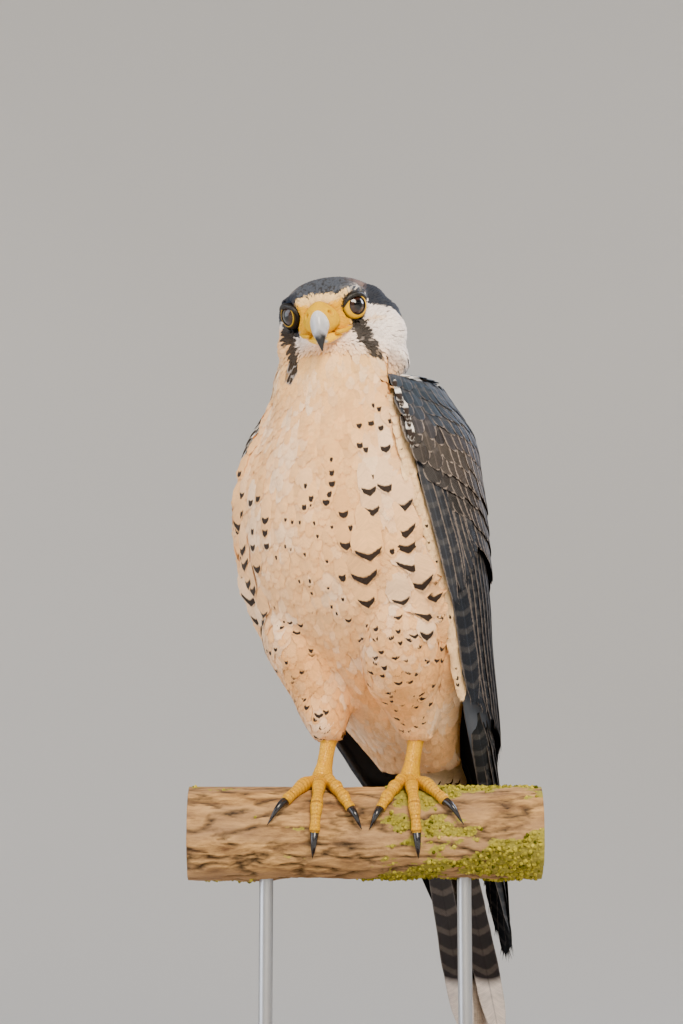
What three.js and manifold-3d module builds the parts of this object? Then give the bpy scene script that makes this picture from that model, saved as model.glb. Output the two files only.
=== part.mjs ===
// Peregrine falcon, life size, perched upright on a cut length of branch that a plain display stand holds up.
// Millimetres, +Z up. The bird faces -Y and its left side is +X. The origin is the middle of the base's
// underside.
// Shapes of the bird are given from its own origin, the top of the branch between its feet.
import * as THREE from "three";
import { mergeVertices } from "three/addons/utils/BufferGeometryUtils.js";
import Module from "manifold-3d";

const wasm = await Module();
wasm.setup();

const deg = Math.PI / 180;
const gap = 0.3; // what touching pieces keep between them

// Display stand and branch
const base = { radius: 125, height: 18, bevel: 3, sides: 36 };
const perch = {
  radius: 26, length: 200, yaw: 32 * deg, top: 174, taper: 2.4, bark: 1.5, sides: 16, rings: 10,
};
const rod = { radius: 4, spacing: 112, intoBase: 9, intoPerch: 12, sides: 14 };
const birdForward = 28; // the feet stand this far in front of the base's middle

// Trunk with its small feathers: foremost and rearmost points and half-width at heights above the branch
const trunk = [
  { z: 279, front: -26, rear: -10, half: 12 },
  { z: 272, front: -34, rear: 0, half: 26 },
  { z: 262, front: -42, rear: 7, half: 33.5 },
  { z: 248, front: -53, rear: 10, half: 39 },
  { z: 234, front: -55, rear: 13, half: 41.5 },
  { z: 220, front: -57, rear: 18, half: 46 },
  { z: 204, front: -60, rear: 27, half: 53 },
  { z: 186, front: -64, rear: 37, half: 62 },
  { z: 166, front: -66, rear: 45, half: 70 },
  { z: 144, front: -65, rear: 50, half: 74 },
  { z: 120, front: -59, rear: 55, half: 74 },
  { z: 98, front: -47, rear: 58, half: 71 },
  { z: 76, front: -29, rear: 63, half: 62.5 },
  { z: 56, front: -9, rear: 70, half: 49 },
  { z: 40, front: 11, rear: 77, half: 38 },
  { z: 22, front: 36, rear: 85, half: 30 },
  { z: 4, front: 60, rear: 91, half: 23 },
];
const trunkSides = 26;
const trunkSteps = 18;
const neckTop = { at: [0, -30, 246], tilt: 24 * deg }; // plane between head and neck
const neckFoot = { at: [0, -20, 216], tilt: 12 * deg }; // plane between neck and torso

// Head in its own frame: origin between and behind the eyes, facing -Y
const headPose = { at: [-1.4, -38.1, 272.9], yaw: 23.2 * deg, pitch: 28.5 * deg, roll: -7 * deg };
const headProfile = [
  { y: -25.6, top: 10.9, bottom: -12.6, half: 11.2 },
  { y: -21, top: 14, bottom: -15.5, half: 15.4 },
  { y: -14, top: 16.8, bottom: -19, half: 19.8 },
  { y: -5, top: 18.4, bottom: -24, half: 24 },
  { y: 5, top: 17.8, bottom: -30, half: 27.6 },
  { y: 15, top: 15.2, bottom: -34, half: 29.4 },
  { y: 24, top: 10, bottom: -34, half: 29 },
  { y: 32, top: 2, bottom: -32, half: 25.5 },
  { y: 39, top: -7, bottom: -28, half: 17 },
];
const headSides = 24;
const headSteps = 13;
const faceY = -25.6; // the cere's root
const eye = { at: [14.6, -13, 1.6], radius: 8.5, detail: 2, lidSeat: 5.6, lidRadius: 6.9, lidThickness: 1.4 };
const brow = { from: [14.5, -22, 6.4], over: [20.6, -12.6, 10.4], to: [23, -2, 8], radius: 2.3 };
const gape = { y: -14.5, x: 14.4, z: -8.6, groove: 0.8 };

// Bill outline in the head's frame, seen from the side, as [y, z], with its half-widths
const billCulmen = [[-33.3, 7.4], [-37.6, 4.7], [-40.9, 0.1], [-42.6, -6.4], [-41.9, -14.6]];
const billEdge = [[-30.9, -5.6], [-33.6, -6.4], [-36.4, -7.2], [-38.9, -8.2], [-41.2, -14.2]];
const billHalf = [9.4, 8.4, 6.6, 4.1, 0.5];
const cereCulmen = [[faceY - gap, 10.6], [-29.6, 10.1], [-33, 7.7]];
const cereEdge = [[faceY - gap, -7.6], [-28.4, -6.4], [-30.6, -5.6]];
const cereHalf = [10.9, 10.6, 9.6];
const jawTop = [[faceY - gap, -8], [-30.4, -6.2], [-35.6, -7.6], [-37.8, -8.8]];
const jawUnder = [[faceY - gap, -12.6], [-29.8, -12.4], [-34.2, -11.4], [-37.4, -9.6]];
const jawHalf = [10.4, 8.8, 5.4, 1.6];
const nostril = { at: [7.9, -30.6, 3.6], radius: 1.7, depth: 2.2, cone: 0.7 };

// Folded wing: front edge, outermost line and rear edge of its outer face at heights above the branch
const wingFront = [
  [230, 32, -25], [222, 40, -37], [196, 53, -46], [168, 60, -46], [140, 65, -39], [122, 66.5, -31],
  [100, 65.5, -19], [80, 62, -5], [60, 57, 10], [40, 52, 25], [0, 41, 61], [-41, 29, 98], [-70, 24, 119],
  [-96, 20, 138],
];
const wingSide = [
  [230, 35, -8], [222, 52, -7], [196, 71, -3], [168, 76, 1], [140, 77, 8], [122, 76, 14], [100, 73, 22],
  [80, 68, 32], [60, 62, 44], [40, 56, 57], [0, 42, 85], [-41, 26, 115], [-70, 19, 130], [-96, 14, 142],
];
const wingRear = [
  [230, 15, 14], [222, 17, 20], [196, 17, 34], [168, 15, 46], [140, 12, 55], [122, 10, 61], [100, 7, 68],
  [80, 5, 75], [60, 4, 81], [40, 4, 89], [0, 4, 105], [-41, 4, 122], [-70, 5, 134], [-96, 7, 143],
];
const wingDepth = [[230, 2.5], [196, 5], [140, 5.5], [80, 4.5], [40, 2.8], [0, 1.8], [-41, 1.6], [-96, 1.4]];
const wingNap = [
  [230, 3.5], [205, 8], [150, 8.2], [110, 7], [60, 5.2], [20, 4], [0, 3], [-41, 1.6], [-96, 1],
];
const featherRoll = -9 * deg; // turn on its shaft, so that each one's edge lies over the one before
const featherCover = 1.22; // width of a feather for each step to the next one
const featherThickness = 0.8;
const wingLevels = [229, 216, 200, 180, 160, 140, 120, 100, 80, 58, 36, 15]; // heights of the core's sections
const wingCoreFoot = -6; // the arm and the stacked shafts end at this height
const wingSpans = [0, 0.16, 0.34, 0.52, 0.7, 0.86, 1];
const rootSink = 1.4; // how deep a feather's root sits in what it grows from
const rootRise = 13; // and over what length it comes out
const rightWing = [3, 7, 0]; // the right wing is tucked in a little further

// The wing's rows of feathers, from the ones underneath to the ones on top. Each row has its roots at one
// height, spread across the wing from front to rear, bends at the same heights and ends at its first and last
// tip, or at one tip for each feather. `beside` is the step to the next one as a share of the wing's width.
const wingRows = [
  { count: 6, root: 38, across: [0.09, 0.58], bends: [-4, -40], beside: 0.11, lift: 1.4, // primaries
    least: 8, tips: [[-86, 0.2], [-96, 0.55], [-86, 0.82], [-67, 0.88], [-46, 0.9], [-25, 0.9]] },
  { count: 7, root: 138, across: [0.09, 0.66], bends: [94, 60], beside: 0.097, lift: 3.1, // secondaries
    tips: [[38, 0.15], [12, 0.75]] },
  { count: 3, root: 116, across: [0.77, 0.91], bends: [75], beside: 0.07, lift: 4.7, // tertials
    tips: [[32, 0.83], [56, 0.93]] },
  { count: 7, root: 171, across: [0.09, 0.64], bends: [140], beside: 0.093, lift: 4.9, // greater coverts
    tips: [[132, 0.11], [102, 0.67]] },
  { count: 6, root: 195, across: [0.09, 0.65], bends: [], beside: 0.112, lift: 6.6, // median coverts
    tips: [[164, 0.1], [142, 0.67]] },
  { count: 5, root: 219, across: [0.13, 0.67], bends: [], beside: 0.135, lift: 8.2, // lesser coverts
    tips: [[188, 0.12], [174, 0.68]] },
  ...[0, 1, 2].map((r) => ({ // shoulder feathers over the rear edge
    count: 3, root: 208 - 27 * r, across: [0.77, 0.92], bends: [], beside: 0.075, lift: 9 - 1.3 * r,
    tips: [[168 - 34 * r, 0.78], [172 - 34 * r, 0.93]] })),
];

// Tail: a closed fan that hangs behind the branch
const tail = { root: [0, 82, 21.5], tip: [0, 143, -143], pairs: 6, width: 22, level: 1.2, thickness: 0.85 };
const rump = { length: 54, half: [18.2, 17.2, 15, 12], above: [2.2, 2.3, 2.1, 2], below: [31, 21, 9.5, 4] };
const tailCoverts = [
  { face: 1, count: 3, start: 0.1, width: 10 },
  { face: -1, count: 3, start: 0.1, width: 11 },
  { face: -1, count: 2, start: 0.34, width: 11 },
];

// Legs
const stance = 25; // from the middle of the branch out to each foot
const thigh = { top: 106, foot: 27, sides: 16, steps: 8 };
const thighRows = [ // sideways, forward, height, half-width and half-depth, above the ankle's own row
  [26, -2, 54, 19, 22.5], [31, -6, 72, 24, 30], [35, -7, 90, 24, 33], [36, -6, thigh.top, 21, 30],
];
const shank = { ankle: 9, halfWidth: 4.3, halfDepth: 5.2, lean: 0.3 };
const toeRadius = 4.1;
const toes = [
  { name: "inner", aim: 30 * deg, length: 36, claw: 17, joints: 2 },
  { name: "middle", aim: 0, length: 50, claw: 15, joints: 3 },
  { name: "outer", aim: -30 * deg, length: 39, claw: 13, joints: 4 },
  { name: "hind", aim: 176 * deg, length: 25, claw: 19, joints: 1 },
];
const toeTurn = 4 * deg; // the feet turn out by this much

const colours = {
  slate: "#3f4853", buff: "#dcc3a0", cheek: "#e8ddcf", skin: "#e2ab2a", horn: "#4b5563", eye: "#120d0b",
  claw: "#17171a", bark: "#6b533a", board: "#8a6242", steel: "#9a9da1",
};

// Small helpers
const mix = (a, b, u) => a + (b - a) * u;
const vec = (x, y, z) => new THREE.Vector3(x, y, z);

// Smooth curve through rows of numbers, read at a position in 0..1 along the rows
function along(rows, u) {
  const last = rows.length - 1;
  const i = Math.min(last - 1, Math.max(0, Math.floor(u * last)));
  const f = u * last - i;
  const [a, b, c, d] = [i - 1, i, i + 1, i + 2].map((k) => rows[Math.min(last, Math.max(0, k))]);
  return b.map((p1, k) => {
    const [p0, p2, p3] = [a[k], c[k], d[k]];
    return p1 + 0.5 * f * (p2 - p0 + f * (2 * p0 - 5 * p1 + 4 * p2 - p3 + f * (3 * (p1 - p2) + p3 - p0)));
  });
}

// The same through rows whose first number falls from row to row, read at a value of that number
function atHeight(rows, z) {
  let i = 0;
  while (i < rows.length - 2 && rows[i + 1][0] > z) i += 1;
  const span = rows[i + 1][0] - rows[i][0];
  const u = (i + Math.min(1, Math.max(0, (z - rows[i][0]) / span))) / (rows.length - 1);
  return along(rows, u).slice(1);
}

// Straight from row to row, read at a position in 0..1 along the rows
function between(rows, u) {
  const i = Math.min(rows.length - 2, Math.floor(u * (rows.length - 1)));
  return rows[i].map((a, k) => mix(a, rows[i + 1][k], u * (rows.length - 1) - i));
}

// Closed surface over rings of points. Each end is closed by a fan from its middle, or across the layer where
// a ring runs out along one face and back along the other.
function loft(rings, layered = false) {
  const n = rings[0].length;
  const points = rings.flat();
  const faces = [];
  for (let r = 0; r < rings.length - 1; r += 1) {
    for (let k = 0; k < n; k += 1) {
      const next = (k + 1) % n;
      const [a, b, c, d] = [r * n + k, r * n + next, (r + 1) * n + k, (r + 1) * n + next];
      faces.push(a, b, c, b, d, c);
    }
  }
  for (const [ring, start, outward] of [[rings[0], 0, false], [rings.at(-1), (rings.length - 1) * n, true]]) {
    const turn = (a, b, c) => (outward ? faces.push(a, b, c) : faces.push(a, c, b));
    if (layered) {
      for (let k = 0; k < n / 2 - 1; k += 1) {
        const [a, b, c, d] = [start + k, start + k + 1, start + n - 2 - k, start + n - 1 - k];
        turn(a, b, c);
        turn(a, c, d);
      }
    } else {
      const middle = points.push(ring.reduce((sum, p) => sum.add(p), vec(0, 0, 0)).divideScalar(n)) - 1;
      for (let k = 0; k < n; k += 1) turn(middle, start + k, start + ((k + 1) % n));
    }
  }
  return solid(points, faces);
}

// A solid from points and triangles, turned to face outwards
function solid(points, faces) {
  const geometry = new THREE.BufferGeometry().setFromPoints(points);
  geometry.setIndex(faces);
  return toSolid(geometry);
}

function toSolid(geometry) {
  geometry.deleteAttribute("normal");
  geometry.deleteAttribute("uv");
  const merged = mergeVertices(geometry, 1e-4);
  const triVerts = new Uint32Array(merged.index.array);
  const made = (tris) => new wasm.Manifold(new wasm.Mesh({
    numProp: 3, vertProperties: new Float32Array(merged.attributes.position.array), triVerts: tris,
  }));
  const first = made(triVerts);
  return first.volume() > 0 ? first : made(triVerts.reverse());
}

const fuse = (pieces) => pieces.slice(1).reduce((whole, piece) => whole.add(piece), pieces[0]);
const largest = (whole) => whole.decompose().sort((a, b) => b.volume() - a.volume())[0];

// Keeps what lies on the side of a plane that its normal points to, `clear` away from it
function keepBeyond(piece, at, normal, clear = 0) {
  const n = vec(...normal).normalize();
  return piece.trimByPlane([n.x, n.y, n.z], n.dot(vec(...at)) + clear);
}

// Flat pointed feather over stations of a middle point, a sideways and an outward direction, a half-width and
// a half-thickness. Both of its faces are split alike, so that they never cross where it bends.
function feather(stations, tip) {
  const points = stations.flatMap(({ at, side, out, half, thick }) => [
    at.clone().addScaledVector(side, half), at.clone().addScaledVector(out, thick),
    at.clone().addScaledVector(side, -half), at.clone().addScaledVector(out, -thick),
  ]);
  const end = points.push(tip) - 1;
  const faces = [0, 2, 1, 0, 3, 2];
  for (let r = 0; r < stations.length; r += 1) {
    for (let k = 0; k < 4; k += 1) {
      const [a, b] = [r * 4 + k, r * 4 + ((k + 1) % 4)];
      if (r === stations.length - 1) faces.push(a, b, end);
      else if (k % 2) faces.push(a, b, b + 4, a, b + 4, a + 4);
      else faces.push(a, b, a + 4, b, b + 4, a + 4);
    }
  }
  return solid(points, faces);
}

// Round tube along points, with a radius at each
function tube(points, radii, sides, flat = 1, upward = vec(0, 0, 1)) {
  const last = points.length - 1;
  return loft(points.map((p, i) => {
    const way = points[Math.min(i + 1, last)].clone().sub(points[Math.max(i - 1, 0)]).normalize();
    const side = way.clone().cross(upward).normalize();
    const rise = side.clone().cross(way).normalize();
    return Array.from({ length: sides }, (_, k) => {
      const a = (k / sides) * 2 * Math.PI;
      return p.clone().addScaledVector(side, Math.cos(a) * radii[i])
        .addScaledVector(rise, Math.sin(a) * radii[i] * flat);
    });
  }));
}

function seeded(seed) {
  let s = seed;
  return () => {
    s = (s * 1664525 + 1013904223) % 4294967296;
    return s / 4294967296;
  };
}

const birdToPart = new THREE.Matrix4().makeTranslation(0, -birdForward, perch.top);
const headToBird = new THREE.Matrix4()
  .makeTranslation(...headPose.at)
  .multiply(new THREE.Matrix4().makeRotationZ(headPose.yaw))
  .multiply(new THREE.Matrix4().makeRotationX(headPose.pitch))
  .multiply(new THREE.Matrix4().makeRotationY(headPose.roll));
const moved = (piece, matrix) => piece.transform(matrix.elements);
const mirrored = (piece) => piece.scale([-1, 1, 1]);

// Branch and stand

// The branch in the bird's frame, or the same a little thicker to cut what rests on it
function branch(extra = 0) {
  const random = seeded(7);
  const lump = () => [1 + Math.floor(random() * 4), random() * 2 * Math.PI, 2 + random() * 4];
  const lumps = Array.from({ length: 4 }, lump);
  const across = vec(Math.cos(perch.yaw), Math.sin(perch.yaw), 0);
  const ahead = vec(Math.sin(perch.yaw), -Math.cos(perch.yaw), 0);
  const rings = Array.from({ length: perch.rings }, (_, i) => {
    const u = i / (perch.rings - 1);
    const centre = across.clone().multiplyScalar((u - 0.5) * perch.length + (u - 0.5) * 2 * extra);
    centre.z = -perch.radius;
    return Array.from({ length: perch.sides }, (_, k) => {
      const a = (k / perch.sides) * 2 * Math.PI;
      const rough = lumps.reduce((s, [m, p, q]) => s + Math.cos(m * a + p + q * u * 2), 0) / lumps.length;
      const settle = 0.5 - 0.5 * Math.sin(a); // no lumps where the feet stand
      const taper = Math.max(0, u - 0.5) * perch.taper;
      const r = perch.radius + extra + (perch.bark * rough - taper) * settle;
      return centre.clone().addScaledVector(ahead, Math.cos(a) * r).add(vec(0, 0, Math.sin(a) * r));
    });
  });
  return loft(rings);
}

function rodSolid(side, extra = 0) {
  const middle = vec(Math.cos(perch.yaw), Math.sin(perch.yaw), 0).multiplyScalar(side * rod.spacing / 2);
  const foot = base.height - rod.intoBase - perch.top - extra;
  const head = rod.intoPerch - 2 * perch.radius + extra;
  const geometry = new THREE.CylinderGeometry(rod.radius + extra, rod.radius + extra, head - foot, rod.sides);
  geometry.rotateX(Math.PI / 2).translate(middle.x, middle.y, (head + foot) / 2);
  return toSolid(geometry);
}

function baseSolid() {
  const { radius, height, bevel } = base;
  const outline = [[0, 0], [radius - 1, 0], [radius, 1], [radius, height - bevel],
    [radius - bevel * 0.3, height - bevel * 0.3], [radius - bevel, height], [0, height]];
  const board = new THREE.LatheGeometry(outline.map(([x, y]) => new THREE.Vector2(x, y)), base.sides);
  board.rotateX(Math.PI / 2).translate(0, birdForward, -perch.top);
  return toSolid(board);
}

// Trunk

function trunkRing(z, extra = 0) {
  const rows = trunk.map((r) => [r.z, r.front, r.rear, r.half]);
  const [front, rear, half] = atHeight(rows, z);
  const middle = (front + rear) / 2;
  const depth = (rear - front) / 2 + extra;
  return Array.from({ length: trunkSides }, (_, k) => {
    const a = (k / trunkSides) * 2 * Math.PI;
    const back = Math.max(0, -Math.cos(a)); // the back is a little flatter than the breast
    return vec(Math.sin(a) * (half + extra), middle - Math.cos(a) * depth * (1 - 0.05 * back), z);
  });
}

function trunkSolid(extra = 0) {
  const highest = trunk[0].z;
  const lowest = trunk.at(-1).z;
  const heights = Array.from({ length: trunkSteps + 1 }, (_, i) => mix(highest, lowest, i / trunkSteps));
  return loft(heights.map((z) => trunkRing(z, extra)));
}

const tailWay = vec(...tail.tip).sub(vec(...tail.root)).normalize();
const tailBack = vec(0, -tailWay.z, tailWay.y); // out of the tail's upper side
const planeNormal = (tilt) => [0, -Math.sin(tilt), Math.cos(tilt)];

// Head

function headLoft() {
  const rows = headProfile.map((r) => [r.y, r.top, r.bottom, r.half]);
  return loft(Array.from({ length: headSteps + 1 }, (_, i) => {
    const [y, top, bottom, half] = along(rows, i / headSteps);
    return Array.from({ length: headSides }, (_, k) => {
      const a = (k / headSides) * 2 * Math.PI;
      const flatTop = Math.sign(Math.cos(a)) * Math.abs(Math.cos(a)) ** (Math.cos(a) > 0 ? 0.86 : 0.95);
      const middle = mix(bottom, top, 0.56);
      const z = flatTop > 0 ? middle + flatTop * (top - middle) : middle + flatTop * (middle - bottom);
      return vec(Math.sign(Math.sin(a)) * Math.abs(Math.sin(a)) ** 0.92 * half, y, z);
    });
  }));
}

// Ridge over the eye that gives a falcon its frown
function browSolid() {
  const rows = [brow.from, brow.over, brow.to];
  const count = 5;
  const shares = Array.from({ length: count }, (_, i) => i / (count - 1));
  const radii = shares.map((u) => brow.radius * (0.45 + 0.55 * Math.sin(u * Math.PI)));
  return tube(shares.map((u) => vec(...along(rows, u))), radii, 6);
}

// Raised bare ring of the lids, longer towards the bill
function lidSolid() {
  const outward = vec(Math.cos(28 * deg), -Math.sin(28 * deg), 0.04).normalize();
  const ahead = vec(0, 0, 1).cross(outward).normalize().negate();
  const rise = outward.clone().cross(ahead).normalize();
  const centre = vec(...eye.at).addScaledVector(outward, eye.lidSeat);
  const count = 14;
  const around = 4;
  const points = [];
  const faces = [];
  for (let i = 0; i < count; i += 1) {
    const a = (i / count) * 2 * Math.PI;
    const reach = eye.lidRadius + 0.9 * Math.max(0, Math.cos(a)) ** 2;
    const radial = ahead.clone().multiplyScalar(Math.cos(a)).addScaledVector(rise, Math.sin(a));
    for (let k = 0; k < around; k += 1) {
      const b = (k / around) * 2 * Math.PI;
      points.push(centre.clone().addScaledVector(radial, reach + Math.cos(b) * eye.lidThickness)
        .addScaledVector(outward, Math.sin(b) * eye.lidThickness));
      const [n, m] = [((i + 1) % count) * around, (k + 1) % around];
      faces.push(i * around + k, n + k, i * around + m, n + k, n + m, i * around + m);
    }
  }
  return solid(points, faces);
}

function eyeSolid(extra = 0) {
  const ball = new THREE.IcosahedronGeometry(eye.radius + extra, eye.detail);
  return toSolid(ball.translate(...eye.at));
}

// Line of the mouth from the bill back to the corner under the eye
function gapeGroove() {
  const start = vec(jawHalf[0] - 0.4, faceY - 2, (cereEdge[0][1] + jawTop[0][1]) / 2);
  const end = vec(gape.x + 1.6, gape.y, gape.z);
  const middle = start.clone().lerp(end, 0.5).add(vec(1.6, 0, -0.2));
  return tube([start, middle, end], [gape.groove, gape.groove, gape.groove * 0.3], 6);
}

// Closed beak piece between an upper and a lower outline seen from the side
function beakPiece(upper, lower, half, steps, sides) {
  return loft(Array.from({ length: steps + 1 }, (_, i) => {
    const u = i / steps;
    const [y0, z0] = along(upper, u);
    const [y1, z1] = along(lower, u);
    const [w] = along(half.map((h) => [h]), u);
    return Array.from({ length: sides }, (_, k) => {
      const a = (k / sides) * 2 * Math.PI;
      const down = 0.5 - 0.5 * Math.cos(a);
      return vec(Math.sin(a) * w * (1 - 0.18 * Math.cos(a)), mix(y0, y1, down), mix(z0, z1, down));
    });
  }));
}

function nostrilCut(side) {
  const { at, radius, depth, cone } = nostril;
  const hole = new THREE.CylinderGeometry(radius, radius, depth * 2, 9);
  const pip = new THREE.CylinderGeometry(cone * 0.6, cone, depth * 2, 6);
  const out = vec(side, -0.35, 0.3).normalize();
  const turn = new THREE.Quaternion().setFromUnitVectors(vec(0, 1, 0), out);
  const place = (g, sink) => toSolid(g.applyQuaternion(turn)
    .translate(side * at[0] - out.x * sink, at[1] - out.y * sink, at[2] - out.z * sink));
  return place(hole, 0).subtract(place(pip, 0.9));
}

function headParts() {
  const lids = lidSolid();
  let whole = fuse([headLoft(), browSolid(), mirrored(browSolid()), lids, mirrored(lids)]);
  for (const cut of [eyeSolid(gap), gapeGroove()]) {
    whole = whole.subtract(cut).subtract(mirrored(cut));
  }
  const cere = beakPiece(cereCulmen, cereEdge, cereHalf, 3, 16)
    .subtract(nostrilCut(1)).subtract(nostrilCut(-1));
  const horn = beakPiece(billCulmen, billEdge, billHalf, 8, 14);
  const jaw = beakPiece(jawTop, jawUnder, jawHalf, 5, 12);
  return {
    head: keepBeyond(whole, [0, faceY, 0], [0, 1, 0]),
    cere: cere.subtract(beakPiece(billCulmen, billEdge, billHalf.map((h) => h + gap), 8, 14)),
    bill_upper: horn.subtract(beakPiece(jawTop, jawUnder, jawHalf.map((h) => h + gap), 5, 12)),
    bill_lower: jaw,
    eye_left: eyeSolid(),
    eye_right: mirrored(eyeSolid()),
  };
}

// Wing

// Point on the wing's outer face at a height, `across` running from the front edge to the rear edge
function wingPoint(z, across) {
  const [f, s, r] = [wingFront, wingSide, wingRear].map((rows) => atHeight(rows, z));
  const bend = s.map((m, k) => 2 * m - (f[k] + r[k]) / 2);
  const at = (k) => (1 - across) ** 2 * f[k] + 2 * across * (1 - across) * bend[k] + across ** 2 * r[k];
  return vec(at(0), at(1), z);
}

function wingOut(z, across) {
  const side = wingPoint(z, Math.min(across + 0.03, 1.03)).sub(wingPoint(z, across - 0.03));
  const lie = wingPoint(z - 2, across).sub(wingPoint(z + 2, across));
  return lie.cross(side).normalize();
}

// Thickness of the feathers that lie over the wing's core
const napAt = (z, across) => atHeight(wingNap, z)[0] * Math.min(1, 0.3 + across * 5);

// Sections of a layer under the wing's face at the given heights and places across, from its core's face
// raised by `rise` down to its inner face grown by `extra`
function wingLayer({ levels, spans, rise = 0, extra = 0 }) {
  return levels.map((z) => {
    const depth = atHeight(wingDepth, z)[0] + extra;
    const at = (t, sink) => wingPoint(z, t).addScaledVector(wingOut(z, t), -napAt(z, t) - sink);
    const rim = (k) => (extra === 0 && (k === 0 || k === spans.length - 1) ? 0.6 : 1);
    const inner = spans.map((t, k) => at(t, depth * rim(k)));
    return [...spans.map((t) => at(t, -rise)), ...inner.reverse()];
  });
}

// Feather that lies along the wing from a root to a tip, each a height and a place across, and that is at
// least `least` wide
function wingFeather({ from, to, bends, beside, lift, least = 0 }) {
  const shares = bends.map((z) => (z - from[0]) / (to[0] - from[0])).filter((u) => u < 0.72);
  const breadth = (u) => Math.min(1, 0.62 + u) * (1 - 2.6 * Math.max(0, u - 0.8));
  const at = (u, rise) => {
    const [z, t] = [mix(from[0], to[0], u), mix(from[1], to[1], u)];
    return wingPoint(z, t).addScaledVector(wingOut(z, t), rise - napAt(z, t));
  };
  const stations = [0, ...shares, 0.85].map((u) => {
    const [z, t] = [mix(from[0], to[0], u), mix(from[1], to[1], u)];
    const ahead = at(u + 0.02, 0).sub(at(u - 0.02, 0)).normalize();
    const side = wingOut(z, t).cross(ahead).normalize().applyAxisAngle(ahead, featherRoll);
    const out = ahead.clone().cross(side).normalize();
    const step = wingPoint(z, t + beside / 2).distanceTo(wingPoint(z, t - beside / 2));
    const half = (Math.max(step * featherCover, least) * breadth(u)) / 2;
    return { at: at(u, u === 0 ? -rootSink : lift), side, out, half, thick: featherThickness / 2 };
  });
  return feather(stations, at(1, lift));
}

function wingFeathers() {
  return wingRows.flatMap((row) => Array.from({ length: row.count }, (_, i) => {
    const u = i / (row.count - 1);
    const bends = [row.root - rootRise, ...row.bends];
    return wingFeather({ ...row, bends, from: [row.root, mix(...row.across, u)], to: between(row.tips, u) });
  }));
}

function wingSolid() {
  const core = loft(wingLayer({ levels: [...wingLevels, wingCoreFoot], spans: wingSpans }), true);
  return fuse([core, ...wingFeathers()]);
}

// Room that the left wing takes out of the body
function wingRoom() {
  const levels = [...wingLevels, wingCoreFoot, wingCoreFoot - 24];
  const sections = wingLayer({ levels, spans: [-0.03, ...wingSpans, 1.03], rise: 20, extra: gap + 0.1 });
  return loft([sections[0].map((p) => p.clone().add(vec(0, 0, 12))), ...sections], true);
}

// Tail

// One of the tail's feathers: pair 0 is the middle one, on top
function tailFeather(pair, side) {
  const share = pair / (tail.pairs - 1);
  const width = pair === 0 ? tail.width : tail.width * mix(0.62, 0.84, share);
  const level = (pair === 0 ? (side + 1) / 2 : -pair) * tail.level + 1;
  const length = vec(...tail.tip).distanceTo(vec(...tail.root)) - 3.5 * share ** 2;
  const at = (u, half) => {
    const x = pair === 0 ? 0.4 : half + 0.2 + u * 2.5 * share;
    return vec(...tail.root).addScaledVector(tailWay, mix(8, length, u))
      .addScaledVector(tailBack, level).add(vec(side * x, 0, 0));
  };
  const stations = [[0, 0.5], [0.35, 0.82], [0.72, 1], [0.95, 0.86]].map(([u, breadth]) => {
    const half = (width / 2) * breadth;
    return { at: at(u, half), side: vec(side, 0, 0), out: tailBack, half, thick: tail.thickness / 2 };
  });
  return feather(stations, at(1, width * 0.4));
}

const rumpAt = (u) => along(rump.half.map((h, i) => [h, rump.above[i], rump.below[i]]), Math.min(1, u));

// Smooth root of the tail under its coverts
function rumpSolid() {
  const steps = 5;
  const sides = 16;
  return loft(Array.from({ length: steps + 1 }, (_, i) => {
    const [half, above, below] = rumpAt(i / steps);
    const centre = vec(...tail.root).addScaledVector(tailWay, (i / steps) * rump.length);
    return Array.from({ length: sides }, (_, k) => {
      const a = (k / sides) * 2 * Math.PI;
      const rise = Math.cos(a) * (Math.cos(a) > 0 ? above : below);
      return centre.clone().add(vec(Math.sin(a) * half, 0, 0)).addScaledVector(tailBack, rise);
    });
  }));
}

// Pointed feather over the tail's root, on its upper or under face
function tailCovert({ face, start, spread, width }) {
  const at = (u, rise) => {
    const [half, above, below] = rumpAt(start + u * 0.55);
    const round = Math.sqrt(Math.max(0.05, 1 - spread ** 2)) * (face > 0 ? above : below);
    return vec(...tail.root).addScaledVector(tailWay, (start + u * 0.55) * rump.length)
      .add(vec(spread * half, 0, 0)).addScaledVector(tailBack, face * (round + rise));
  };
  const lean = vec(spread * 0.8, 0, 0).addScaledVector(tailBack, face).normalize();
  const side = tailWay.clone().cross(lean).normalize().applyAxisAngle(tailWay, 2 * featherRoll);
  const out = side.clone().cross(tailWay).normalize();
  const stations = [[0, -rootSink, 0.6], [0.45, 1, 1], [0.8, 1, 0.8]].map(([u, rise, breadth]) => ({
    at: at(u, rise), side, out, half: (width / 2) * breadth, thick: featherThickness / 2,
  }));
  return feather(stations, at(1.05, 0.9));
}

function tailSolid() {
  const pieces = [rumpSolid()];
  for (let pair = 0; pair < tail.pairs; pair += 1) pieces.push(tailFeather(pair, 1), tailFeather(pair, -1));
  for (const { count, ...row } of tailCoverts) {
    for (let i = 0; i < count; i += 1) {
      pieces.push(tailCovert({ ...row, spread: ((i + 0.5) / count - 0.5) * 1.7 }));
    }
  }
  return keepBeyond(fuse(pieces), tail.root, tailWay.toArray(), gap / 2);
}

// Legs

function legFrame(side) {
  const across = vec(Math.cos(perch.yaw), Math.sin(perch.yaw), 0);
  const ahead = vec(Math.sin(perch.yaw), -Math.cos(perch.yaw), 0);
  const foot = across.clone().multiplyScalar(side * stance);
  return { across, ahead, foot };
}

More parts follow.
